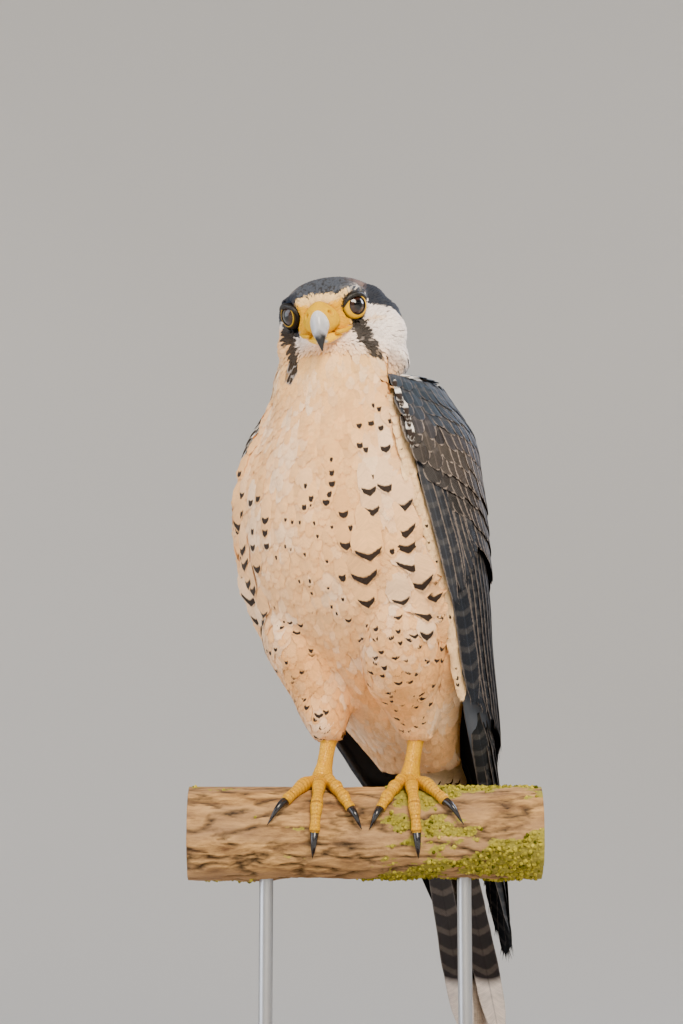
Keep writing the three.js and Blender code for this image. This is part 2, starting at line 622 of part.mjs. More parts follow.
// Point on a toe's middle line: wrapped round the branch by `reach` from the ball of the foot
function toePoint(side, toe, reach, lift) {
  const { across, ahead, foot } = legFrame(side);
  const aim = -side * (toe.aim + toeTurn);
  const r = perch.radius + lift;
  const turn = (Math.cos(aim) * reach) / (perch.radius + toeRadius);
  return foot.clone().addScaledVector(across, -Math.sin(aim) * reach)
    .addScaledVector(ahead, Math.sin(turn) * r).add(vec(0, 0, Math.cos(turn) * r - perch.radius));
}

function toeSolid(side, toe) {
  const count = 2 + toe.joints * 2;
  const points = [];
  const radii = [];
  for (let i = 0; i <= count; i += 1) {
    const u = i / count;
    const pad = 0.5 + 0.5 * Math.cos(u * toe.joints * 2 * Math.PI);
    const radius = toeRadius * mix(1.05, 0.78, u) * (0.86 + 0.2 * pad);
    points.push(toePoint(side, toe, u * toe.length, radius * 0.82));
    radii.push(radius);
  }
  return tube(points, radii, 7, 1, vec(Math.cos(perch.yaw), Math.sin(perch.yaw), 0));
}

function clawSolid(side, toe) {
  const steps = 5;
  const points = [];
  const radii = [];
  for (let i = 0; i <= steps; i += 1) {
    const u = i / steps;
    const arch = 2.6 + 3.4 * Math.sin(Math.min(1, u * 1.25) * Math.PI * 0.8) - 2.9 * u ** 2;
    points.push(toePoint(side, toe, toe.length + gap + u * toe.claw, arch));
    radii.push(Math.max(0.25, toeRadius * 0.62 * (1 - u) ** 0.75));
  }
  return tube(points, radii, 6, 1, vec(Math.cos(perch.yaw), Math.sin(perch.yaw), 0));
}

function ballPoint(side, height) {
  const { foot } = legFrame(side);
  return foot.clone().add(vec(0, height * shank.lean, height));
}

function shankSolid(side) {
  const heights = [2, 6, 12, 19, 25, thigh.foot + 3];
  const swell = [1.35, 1.3, 0.98, 0.92, 0.98, 1.05];
  const radii = swell.map((s) => s * shank.halfWidth);
  const flat = shank.halfDepth / shank.halfWidth;
  return tube(heights.map((h) => ballPoint(side, h)), radii, 10, flat, vec(0, 1, 0));
}

function thighSolid(side) {
  const foot = ballPoint(side, thigh.foot);
  const rows = [[foot.x, foot.y, thigh.foot, 7.5, 8.5], [foot.x * 1.06, foot.y - 2, 38, 12.5, 15],
    ...thighRows.map(([x, ...rest]) => [side * x, ...rest])];
  return loft(Array.from({ length: thigh.steps + 1 }, (_, i) => {
    const [x, y, z, w, d] = along(rows, i / thigh.steps);
    return Array.from({ length: thigh.sides }, (_, k) => {
      const a = (k / thigh.sides) * 2 * Math.PI;
      return vec(x + Math.cos(a) * w, y + Math.sin(a) * d, z);
    });
  }));
}

function footSolid(side) {
  const ball = toSolid(new THREE.IcosahedronGeometry(6.4, 1).scale(1, 1.05, 0.8)
    .translate(...ballPoint(side, 4.2).toArray()));
  const whole = fuse([ball, shankSolid(side), ...toes.map((toe) => toeSolid(side, toe))]);
  return keepBeyond(whole, [0, 0, shank.ankle], [0, 0, -1], gap / 2).subtract(branch(gap));
}

// Assembly

const lookOf = {
  head: "slate", cere: "skin", bill_upper: "horn", bill_lower: "horn", eye_left: "eye", eye_right: "eye",
  neck: "cheek", torso: "buff", thigh_left: "buff", thigh_right: "buff", wing_left: "slate",
  wing_right: "slate", tail: "slate", perch_branch: "bark", stand_base: "board", stand_rod_left: "steel",
  stand_rod_right: "steel",
};

function birdParts() {
  const parts = {};
  for (const [name, piece] of Object.entries(headParts())) parts[name] = moved(piece, headToBird);
  const room = wingRoom();
  const rooms = { left: room, right: mirrored(room).translate(rightWing) };
  const sockets = moved(eyeSolid(gap).add(mirrored(eyeSolid(gap))), headToBird);
  const body = trunkSolid().add(parts.head).subtract(sockets);
  const aboveNeck = planeNormal(neckTop.tilt);
  const aboveFoot = planeNormal(neckFoot.tilt);
  const flip = (normal) => normal.map((n) => -n);
  const cutBody = (piece) => piece.subtract(rooms.left).subtract(rooms.right);
  const face = keepBeyond(body, neckTop.at, aboveNeck, gap / 2);
  parts.head = face.subtract(parts.cere).subtract(parts.bill_lower);
  const collar = keepBeyond(body, neckTop.at, flip(aboveNeck), gap / 2);
  parts.neck = cutBody(keepBeyond(collar, neckFoot.at, aboveFoot, gap / 2));
  const lower = cutBody(keepBeyond(body, neckFoot.at, flip(aboveFoot), gap / 2));
  parts.torso = keepBeyond(lower, tail.root, tailWay.clone().negate().toArray(), gap / 2);
  parts.wing_left = wingSolid();
  parts.wing_right = mirrored(parts.wing_left).translate(rightWing);
  parts.tail = tailSolid();
  const trunkRoom = trunkSolid(gap);
  for (const [side, word] of [[1, "left"], [-1, "right"]]) {
    const apart = keepBeyond(thighSolid(side), [side * 0.3, 0, 0], [side, 0, 0]);
    const free = apart.subtract(trunkRoom).subtract(rooms[word]);
    parts[`thigh_${word}`] = keepBeyond(free, [0, 0, thigh.foot], [0, 0, 1]);
    parts[`foot_${word}`] = footSolid(side);
    const shin = keepBeyond(shankSolid(side), [0, 0, shank.ankle], [0, 0, 1], gap / 2);
    parts[`shank_${word}`] = keepBeyond(shin, [0, 0, thigh.foot - gap], [0, 0, -1]);
    for (const toe of toes) {
      const claw = clawSolid(side, toe).subtract(branch(gap)).subtract(parts[`foot_${word}`]);
      parts[`claw_${toe.name}_${word}`] = claw;
    }
  }
  return parts;
}

function standParts() {
  const rods = [1, -1].map((side) => rodSolid(side));
  const holes = [1, -1].map((side) => rodSolid(side, gap));
  const bored = (piece) => holes.reduce((rest, hole) => rest.subtract(hole), piece);
  return {
    perch_branch: bored(branch()), stand_base: bored(baseSolid()),
    stand_rod_left: rods[0], stand_rod_right: rods[1],
  };
}

function meshOf(name, piece) {
  const data = largest(piece).getMesh();
  const places = new Float32Array(data.numVert * 3);
  for (let i = 0; i < data.numVert; i += 1) {
    places.set(data.vertProperties.subarray(i * data.numProp, i * data.numProp + 3), i * 3);
  }
  const geometry = new THREE.BufferGeometry().setAttribute("position", new THREE.BufferAttribute(places, 3));
  geometry.setIndex(new THREE.BufferAttribute(data.triVerts, 1));
  const leg = /^(foot|shank)/.test(name) ? "skin" : "claw";
  const color = colours[lookOf[name] ?? leg];
  const look = new THREE.MeshStandardMaterial({ color, roughness: 0.75, metalness: 0 });
  const mesh = new THREE.Mesh(geometry, look);
  mesh.name = name;
  return mesh;
}

const falcon = new THREE.Group();
falcon.name = "falcon";
const parts = { ...birdParts(), ...standParts() };
for (const [name, piece] of Object.entries(parts)) falcon.add(meshOf(name, piece));
falcon.applyMatrix4(birdToPart);

export default falcon;
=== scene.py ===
import math

import bmesh
import bpy
import numpy as np
from mathutils import Matrix, Vector, noise
from mathutils.bvhtree import BVHTree


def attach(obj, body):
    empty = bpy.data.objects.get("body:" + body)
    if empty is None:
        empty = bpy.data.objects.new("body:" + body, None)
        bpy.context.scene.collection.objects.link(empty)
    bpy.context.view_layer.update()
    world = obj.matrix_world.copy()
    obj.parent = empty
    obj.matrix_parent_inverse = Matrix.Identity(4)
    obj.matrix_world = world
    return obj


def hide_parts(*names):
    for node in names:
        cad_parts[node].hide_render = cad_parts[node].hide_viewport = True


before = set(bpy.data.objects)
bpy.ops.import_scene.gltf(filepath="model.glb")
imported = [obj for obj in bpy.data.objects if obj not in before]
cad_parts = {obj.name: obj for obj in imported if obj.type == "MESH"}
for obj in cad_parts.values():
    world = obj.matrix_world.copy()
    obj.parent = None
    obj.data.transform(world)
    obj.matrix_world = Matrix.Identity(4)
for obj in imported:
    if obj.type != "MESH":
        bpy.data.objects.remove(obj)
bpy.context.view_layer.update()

print("frame loaded")

# Places are worked out in millimetres from the bird's own origin, the top of the branch between its feet.
birdPlace = np.array([0.0, -28.0, 174.0])
leftward = np.array([1, 0, 0])
upward = np.array([0, 0, 1.0])
photoView = {"eye": (0.73275, -1.22592, 0.06074), "middle": (0.00449, -0.06046, 0.32787), "lens": 86.35}  # metres, row
tuftPatch = 0.003  # side of one feather's patch on the bake map
noMark = -3.0  # half-width of the mark of a feather that has none
headPose = {"at": np.array([-1.4, -38.1, 272.9]), "yaw": 23.2, "pitch": 28.5, "roll": -7.0}


def toRow(points):
    return (np.asarray(points, float) + birdPlace) / 1000


def toBird(points):
    return np.asarray(points, float) * 1000 - birdPlace


def turned(axis, degrees):
    c, s = math.cos(math.radians(degrees)), math.sin(math.radians(degrees))
    rows = {
        "x": [[1, 0, 0], [0, c, -s], [0, s, c]],
        "y": [[c, 0, s], [0, 1, 0], [-s, 0, c]],
        "z": [[c, -s, 0], [s, c, 0], [0, 0, 1]],
    }
    return np.array(rows[axis])


headTurn = turned("z", headPose["yaw"]) @ turned("x", headPose["pitch"]) @ turned("y", headPose["roll"])


def fromHead(points):
    return np.asarray(points, float) @ headTurn.T + headPose["at"]


def toHead(points):
    return (np.asarray(points, float) - headPose["at"]) @ headTurn


def unit(vectors):
    return vectors / np.maximum(np.linalg.norm(vectors, axis=-1, keepdims=True), 1e-9)


def ramp(value, low, high):
    u = np.clip((value - low) / (high - low), 0, 1)
    return u * u * (3 - 2 * u)


def along(rows, u):
    # smooth curve through rows of numbers, read at places in 0..1
    rows = np.asarray(rows, float)
    last = len(rows) - 1
    u = np.atleast_1d(np.asarray(u, float))
    i = np.clip(np.floor(u * last).astype(int), 0, last - 1)
    f = (u * last - i)[:, None]
    p0, p1, p2, p3 = (rows[np.clip(i + k, 0, last)] for k in (-1, 0, 1, 2))
    return p1 + 0.5 * f * (p2 - p0 + f * (2 * p0 - 5 * p1 + 4 * p2 - p3 + f * (3 * (p1 - p2) + p3 - p0)))


def atHeight(rows, z):
    # the same through rows whose first number falls, read at values of that number
    rows = np.asarray(rows, float)
    z = np.atleast_1d(np.asarray(z, float))
    i = np.clip((rows[1:, 0][None, :] > z[:, None]).sum(1), 0, len(rows) - 2)
    f = np.clip((z - rows[i, 0]) / (rows[i + 1, 0] - rows[i, 0]), 0, 1)
    return along(rows, (i + f) / (len(rows) - 1))[:, 1:]


def linear(hexColour):
    parts = [int(hexColour[k:k + 2], 16) / 255 for k in (1, 3, 5)]
    return np.array([p / 12.92 if p <= 0.04045 else ((p + 0.055) / 1.055) ** 2.4 for p in parts])


def rgba(hexColour):
    return (*linear(hexColour), 1.0)


def add(tree, kind, links=None, **settings):
    node = tree.nodes.new("ShaderNode" + kind)
    for name, value in settings.items():
        setattr(node, name, value)
    for name, value in (links or {}).items():
        value = value.outputs[0] if isinstance(value, bpy.types.Node) else value
        if isinstance(value, bpy.types.NodeSocket):
            tree.links.new(value, node.inputs[name])
        else:
            node.inputs[name].default_value = value
    return node


def newMaterial(name):
    material = bpy.data.materials.new(name)
    material.use_nodes = True
    material.node_tree.nodes.clear()
    return material, material.node_tree


def addPiece(name, points, faces, material, replaces=(), slot=None, uvs=None, traits=None):
    # points in millimetres of the bird, faces as arrays of triangles and of quads
    loops = np.concatenate([f.ravel() for f in faces]).astype(np.int32)
    sizes = np.concatenate([np.full(len(f), f.shape[1]) for f in faces])
    starts = np.concatenate([[0], np.cumsum(sizes)[:-1]]).astype(np.int32)
    mesh = bpy.data.meshes.new(name)
    mesh.vertices.add(len(points))
    mesh.vertices.foreach_set("co", toRow(points).astype(np.float32).ravel())
    mesh.loops.add(len(loops))
    mesh.loops.foreach_set("vertex_index", loops)
    mesh.polygons.add(len(sizes))
    mesh.polygons.foreach_set("loop_start", starts)
    mesh.update(calc_edges=True)
    mesh.polygons.foreach_set("use_smooth", np.ones(len(sizes), bool))
    for label, values in (uvs or {}).items():
        mesh.uv_layers.new(name=label).data.foreach_set("uv", values[loops].astype(np.float32).ravel())
    for label, values in (traits or {}).items():
        layer = mesh.attributes.new(label, "FLOAT_VECTOR", "POINT")
        layer.data.foreach_set("vector", values.astype(np.float32).ravel())
    mesh.materials.append(material)
    piece = bpy.data.objects.new(name, mesh)
    bpy.context.scene.collection.objects.link(piece)
    return settle(piece, replaces)


def settle(piece, replaces=()):
    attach(piece, "root")
    if replaces:
        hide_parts(*replaces)
    return piece


def gridFaces(rows, columns, wrap=False):
    # quads over a grid of points, closed round its columns when it wraps
    r, c = np.meshgrid(np.arange(rows - 1), np.arange(columns if wrap else columns - 1), indexing="ij")
    r, c = r.ravel(), c.ravel()
    n = (c + 1) % columns
    return np.stack([r * columns + c, r * columns + n, (r + 1) * columns + n, (r + 1) * columns + c], 1)


def tubeGrid(points, radii, sides, upward, flat=1.0):
    # rings of points round a middle line, one row for each place on it
    points = np.asarray(points, float)
    way = unit(np.gradient(points, axis=0))
    side = unit(np.cross(way, np.asarray(upward, float)))
    rise = np.cross(side, way)
    a = np.linspace(0, 2 * math.pi, sides, endpoint=False)
    radii = np.broadcast_to(radii, (len(points),))[:, None, None]
    return points[:, None] + radii * (np.cos(a)[None, :, None] * side[:, None]
                                      + flat * np.sin(a)[None, :, None] * rise[:, None])


def capped(grid):
    # a ring grid with a fan over each end
    rows, columns = grid.shape[:2]
    points = np.concatenate([grid.reshape(-1, 3), [grid[0].mean(0)], [grid[-1].mean(0)]])
    k = np.arange(columns)
    n = (k + 1) % columns
    first, last = rows * columns, rows * columns + 1
    start = np.stack([n, k, np.full(columns, first)], 1)
    end = np.stack([(rows - 1) * columns + k, (rows - 1) * columns + n, np.full(columns, last)], 1)
    return points, [gridFaces(rows, columns, True), np.concatenate([start, end])]


# Feathers


def makeVanes(path, side, out, half, length, style, seed):
    # One curved vane for each middle line: a grid of stations and columns, and a fringe of loose barbs at its end
    draw = np.random.default_rng(seed)
    count, stations = path.shape[:2]
    columns = style["columns"]
    c = np.linspace(-1, 1, columns)
    s = np.asarray(style["stations"], float)
    shape = np.asarray(style["shape"], float)
    ahead = unit(np.gradient(path, axis=1))
    wide = half[:, None, None] * shape[None, :, None] * c[None, None, :]
    ragged = 1 + style["ragged"] * draw.uniform(-1, 1, (count, stations, columns)) * np.abs(c) ** 3
    wide = wide * ragged
    bow = style["bow"] * half[:, None, None] * (c ** 2)[None, None, :] * ramp(s, 0.45, s[-1])[None, :, None]
    dip = style["camber"] * half[:, None, None] * shape[None, :, None] * (c ** 2)[None, None, :]
    body = (path[:, :, None] + wide[..., None] * side[:, :, None] - bow[..., None] * ahead[:, :, None]
            - dip[..., None] * out[:, :, None])
    reach = (1 - s[-1]) * length[:, None] * draw.uniform(0.35, 1.15, (count, columns - 1))
    middle = (body[:, -1, 1:] + body[:, -1, :-1]) / 2
    droop = draw.uniform(-0.1, 0.12, (count, columns - 1, 1))
    lean = draw.uniform(-0.22, 0.22, (count, columns - 1, 1)) + 0.25 * ((c[1:] + c[:-1]) / 2)[None, :, None]
    tips = middle + reach[..., None] * (ahead[:, -1, None] + droop * out[:, -1, None] + lean * side[:, -1, None])
    each = stations * columns + columns - 1
    points = np.concatenate([body.reshape(count, -1, 3), tips], 1)
    uBody = np.broadcast_to((c * 0.5 + 0.5)[None, None, :], (count, stations, columns)).reshape(count, -1)
    vBody = np.broadcast_to(s[None, :, None], (count, stations, columns)).reshape(count, -1)
    uTips = np.broadcast_to((c[1:] + c[:-1])[None, :] / 4 + 0.5, (count, columns - 1))
    vTips = s[-1] + reach / length[:, None]
    vane = np.stack([np.concatenate([uBody, uTips], 1), np.concatenate([vBody, vTips], 1)], -1)
    first = (np.arange(count) * each)[:, None, None]
    quads = (gridFaces(stations, columns)[None] + first).reshape(-1, 4)
    k = np.arange(columns - 1)
    low = (stations - 1) * columns
    ends = np.stack([low + k, low + k + 1, stations * columns + k], 1)
    ends = (ends[None] + first).reshape(-1, 3)
    return {"points": points.reshape(-1, 3), "faces": [quads, ends], "vane": vane.reshape(-1, 2), "each": each}


def dressed(name, vanes, traits, patches, material, replaces=(), slot=None):
    # traits has one row for each feather, and patches the place of each one's patch on the bake map
    each = vanes["each"]
    spread = {label: np.repeat(values, each, axis=0) for label, values in traits.items()}
    corner, size = patches
    bake = np.repeat(corner, each, axis=0) + vanes["vane"] * size
    return addPiece(name, vanes["points"], vanes["faces"], material, replaces, slot,
                    {"vane": vanes["vane"], "OFBake": bake}, spread)


def featherMaterial(name, look):
    # Keratin barbs laid side by side: a soft, slightly silky surface with fine lines slanting from the shaft
    material, tree = newMaterial(name)
    vane = add(tree, "UVMap", uv_map="vane")
    split = add(tree, "SeparateXYZ", {0: vane})
    ground = add(tree, "Attribute", attribute_name="ground")
    trait = add(tree, "SeparateXYZ", {0: add(tree, "Attribute", attribute_name="trait").outputs["Vector"]})
    size = add(tree, "SeparateXYZ", {0: add(tree, "Attribute", attribute_name="size").outputs["Vector"]})
    # millimetres from the shaft and from the tip
    offset = add(tree, "Math", {0: split.outputs["X"], 1: 0.5}, operation="SUBTRACT")
    spread = add(tree, "Math", {0: offset, 1: 2.0}, operation="MULTIPLY")
    across = add(tree, "Math", {0: spread, 1: size.outputs["Y"]}, operation="MULTIPLY")
    side = add(tree, "Math", {0: across}, operation="ABSOLUTE")
    rest = add(tree, "Math", {0: 1.0, 1: split.outputs["Y"]}, operation="SUBTRACT")
    fromTip = add(tree, "Math", {0: rest, 1: size.outputs["X"]}, operation="MULTIPLY")
    # edges of the marks run ragged along the barbs, about 1 mm
    place = add(tree, "TexCoord").outputs["Object"]
    rough = add(tree, "TexNoise", {"Vector": place, "Scale": 1 / 0.0014, "Detail": 2.0})
    wander = add(tree, "Math", {0: rough.outputs["Fac"], 1: 0.5}, operation="SUBTRACT")
    wander = add(tree, "Math", {0: wander, 1: look["wander"]}, operation="MULTIPLY")
    # one chevron a little before the tip, as wide as the feather's trait says
    rise = add(tree, "Math", {0: side, 1: 1.25}, operation="POWER")
    rise = add(tree, "Math", {0: rise, 1: look["rise"]}, operation="MULTIPLY")
    line = add(tree, "Math", {0: fromTip, 1: rise}, operation="SUBTRACT")
    line = add(tree, "Math", {0: line, 1: 3.6}, operation="SUBTRACT")
    line = add(tree, "Math", {0: line, 1: wander}, operation="ADD")
    line = add(tree, "Math", {0: line}, operation="ABSOLUTE")
    thin = add(tree, "Math", {0: side, 1: -0.025}, operation="MULTIPLY")
    thick = add(tree, "Math", {0: trait.outputs["Y"], 1: thin}, operation="ADD")
    stroke = add(tree, "MapRange", {"Value": line, "From Min": thick, "From Max": 0.0,
                                    "To Min": 0.0, "To Max": 2.6})
    reach = add(tree, "Math", {0: trait.outputs["X"], 1: side}, operation="SUBTRACT")
    reach = add(tree, "Math", {0: reach, 1: wander}, operation="ADD")
    within = add(tree, "MapRange", {"Value": reach, "From Min": 0.0, "From Max": 0.5})
    chevron = add(tree, "Math", {0: stroke, 1: within}, operation="MULTIPLY", use_clamp=True)
    # cross bars down the whole feather, about 10 mm apart on the real bird
    wave = add(tree, "Math", {0: fromTip, 1: rise}, operation="SUBTRACT")
    wave = add(tree, "Math", {0: wave, 1: wander}, operation="ADD")
    wave = add(tree, "Math", {0: wave, 1: 2 * math.pi / look["barStep"]}, operation="MULTIPLY")
    wave = add(tree, "Math", {0: wave}, operation="SINE")
    bar = add(tree, "MapRange", {"Value": wave, "From Min": 0.35, "From Max": 0.8})
    barAmount = add(tree, "Math", {0: bar, 1: look["bars"]}, operation="MULTIPLY")
    tip = add(tree, "MapRange", {"Value": fromTip, "From Min": look["barStart"], "From Max": look["barStart"] + 2.0})
    barAmount = add(tree, "Math", {0: barAmount, 1: tip}, operation="MULTIPLY")
    # pale fringe, widest round the tip
    inside = add(tree, "Math", {0: size.outputs["Y"], 1: side}, operation="SUBTRACT")
    nearTip = add(tree, "Math", {0: fromTip, 1: 0.55}, operation="MULTIPLY")
    margin = add(tree, "Math", {0: inside, 1: nearTip}, operation="MINIMUM")
    margin = add(tree, "Math", {0: margin, 1: wander}, operation="ADD")
    fringe = add(tree, "MapRange", {"Value": margin, "From Min": look["fringe"], "From Max": look["fringe"] * 0.45,
                                    "To Min": 0.0, "To Max": 1.0})
    fringe = add(tree, "Math", {0: fringe, 1: trait.outputs["Z"]}, operation="MULTIPLY", use_clamp=True)
    # barbs: 0.3 mm apart in life, drawn 1.1 mm apart so that they show
    slant = add(tree, "Math", {0: side, 1: 0.8}, operation="MULTIPLY")
    barb = add(tree, "Math", {0: fromTip, 1: slant}, operation="ADD")
    barb = add(tree, "Math", {0: barb, 1: 2 * math.pi / 1.1}, operation="MULTIPLY")
    barb = add(tree, "Math", {0: barb}, operation="SINE")
    cloud = add(tree, "TexNoise", {"Vector": place, "Scale": 1 / 0.009, "Detail": 3.0})
    # strands of barbs clinging together, lighter and darker by turns, each feather its own
    lengthwise = add(tree, "Math", {0: side, 1: 0.16}, operation="MULTIPLY")
    strand = add(tree, "CombineXYZ", {"X": add(tree, "Math", {0: fromTip, 1: slant}, operation="ADD"), "Y": lengthwise,
                                      "Z": add(tree, "Math", {0: size.outputs["Z"], 1: 90.0}, operation="MULTIPLY")})
    strands = add(tree, "TexNoise", {"Vector": strand, "Scale": 0.9, "Detail": 3.0, "Roughness": 0.6})
    strands = add(tree, "Math", {0: strands, 1: 0.5}, operation="SUBTRACT")
    strands = add(tree, "Math", {0: strands, 1: look["strands"]}, operation="MULTIPLY")
    grain = add(tree, "Math", {0: barb, 1: look["barbTone"]}, operation="MULTIPLY")
    grain = add(tree, "Math", {0: grain, 1: strands}, operation="ADD")
    tone = add(tree, "MapRange", {"Value": cloud.outputs["Fac"], "From Min": 0.3, "From Max": 0.7,
                                  "To Min": 1 - look["cloud"], "To Max": 1 + look["cloud"]})
    tone = add(tree, "Math", {0: tone, 1: grain}, operation="ADD")
    shaft = add(tree, "MapRange", {"Value": side, "From Min": look["shaft"], "From Max": look["shaft"] * 0.5})
    colour = add(tree, "Mix", {"Factor": barAmount, "A": ground.outputs["Color"], "B": rgba(look["barColour"])},
                 data_type="RGBA")
    colour = add(tree, "Mix", {"Factor": fringe, "A": colour.outputs["Result"], "B": rgba(look["fringeColour"])},
                 data_type="RGBA")
    colour = add(tree, "Mix", {"Factor": chevron, "A": colour.outputs["Result"], "B": rgba(look["markColour"])},
                 data_type="RGBA")
    shade = add(tree, "Math", {0: shaft, 1: look["shaftTone"]}, operation="MULTIPLY")
    tone = add(tree, "Math", {0: tone, 1: shade}, operation="ADD")
    colour = add(tree, "VectorMath", {0: colour.outputs["Result"], "Scale": tone}, operation="SCALE")
    bump = add(tree, "Bump", {"Height": barb, "Strength": look["relief"], "Distance": 0.00012})
    surface = add(tree, "BsdfPrincipled", {
        "Base Color": colour, "Normal": bump, "Roughness": look["roughness"], "IOR": 1.55,
        "Specular IOR Level": look["gloss"], "Sheen Weight": look["sheen"], "Sheen Roughness": 0.45,
        "Sheen Tint": rgba(look["sheenColour"])})
    add(tree, "OutputMaterial", {"Surface": surface})
    return material


bodyFeather = featherMaterial("contourFeatherKeratin", {
    "rise": 0.17, "wander": 1.3, "barStep": 9.0, "bars": 0.0, "barStart": 4.0, "barColour": "#3a2f27", "fringe": 1.2,
    "fringeColour": "#b6ada6", "markColour": "#2b211b", "barbTone": 0.035, "cloud": 0.05, "shaft": 0.25,
    "shaftTone": -0.05, "relief": 0.35, "roughness": 0.75, "gloss": 0.2, "sheen": 0.06, "sheenColour": "#fff1dd",
    "strands": 0.5})
wingFeather = featherMaterial("flightFeatherKeratin", {
    "rise": 0.21, "wander": 1.8, "barStep": 11.0, "bars": 0.12, "barStart": 5.0, "barColour": "#7a746e", "fringe": 0.95,
    "fringeColour": "#84786f", "markColour": "#15171b", "barbTone": 0.06, "cloud": 0.13, "shaft": 0.5,
    "shaftTone": 0.6, "relief": 0.5, "roughness": 0.6, "gloss": 0.22, "sheen": 0.02, "sheenColour": "#cfd8e6",
    "strands": 0.9})
print("feather materials made")

# Body: one smooth skin under the coat, from the solids of the flesh

trunkRows = [
    [279, -26, -10, 12], [272, -34, 0, 26], [262, -42, 7, 33.5], [248, -53, 10, 39], [234, -55, 13, 41.5],
    [220, -57, 18, 46], [204, -60, 27, 53], [186, -64, 37, 62], [166, -66, 45, 70], [144, -65, 50, 74],
    [120, -59, 55, 74], [98, -47, 58, 71], [76, -29, 63, 62.5], [56, -9, 70, 49], [40, 11, 77, 38],
    [22, 36, 85, 30], [4, 60, 91, 23]]  # height, foremost, rearmost, half-width
eyeBall = {"at": np.array([15.7, -12.7, 2.5]), "radius": 8.5, "out": unit(np.array([0.695, -0.719, 0.12]))}
tailRoot, tailTip = np.array([0, 82, 21.5]), np.array([0, 143, -143])
tailWay = unit(tailTip - tailRoot)


def coatDepth(points):
    # thin on the face, deep on the belly
    h = toHead(points)
    far = np.linalg.norm(h - np.array([0, -30, 0]), axis=1)
    return np.interp(far, [8, 30, 60, 110], [0.7, 1.5, 2.6, 3.6])


def eyeFrame(points):
    # distance from the axis of the eye on the same side, place along it and the way out from it
    h = toHead(points)
    sign = np.where(h[:, :1] < 0, -1, 1) * np.array([[1, 0, 0]]) + np.array([[0, 1, 1]])
    folded = h * sign - eyeBall["at"]
    depth = folded @ eyeBall["out"]
    away = folded - depth[:, None] * eyeBall["out"]
    radial = np.linalg.norm(away, axis=1)
    return radial, depth, (unit(away) * sign) @ headTurn.T, (eyeBall["out"] * sign) @ headTurn.T


def treeOf(names):
    points, faces, start = [], [], 0
    for name in names:
        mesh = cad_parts[name].data
        co = np.zeros(len(mesh.vertices) * 3, np.float32)
        mesh.vertices.foreach_get("co", co)
        points += [tuple(p) for p in toBird(co.reshape(-1, 3))]
        faces += [tuple(v + start for v in p.vertices) for p in mesh.polygons]
        start = len(points)
    return BVHTree.FromPolygons(points, faces)


def gapTo(tree, points, most):
    found = (tree.find_nearest(Vector(p), most) for p in points)
    return np.array([most if f[0] is None else f[3] for f in found])


wingTree = treeOf(["wing_left", "wing_right"])

# cheeks and nape fill out the crease between the head and the neck: place in the head's own millimetres, radius
fillers = [
    (23.5, 3, -10.5, 13.0), (21.5, 8, -2.5, 12.2), (28.4, -5, -18, 15.6), (26.0, 8, -13, 14.6), (-19.0, 3, -11, 12.6),
    (-19.5, 8, -3, 11.6), (-20.0, -5, -18, 12.6), (8, 19, -20, 19.0), (-8, 19, -20, 19.0), (14, 17, -11, 17.0),
    (-14, 17, -11, 17.0)]


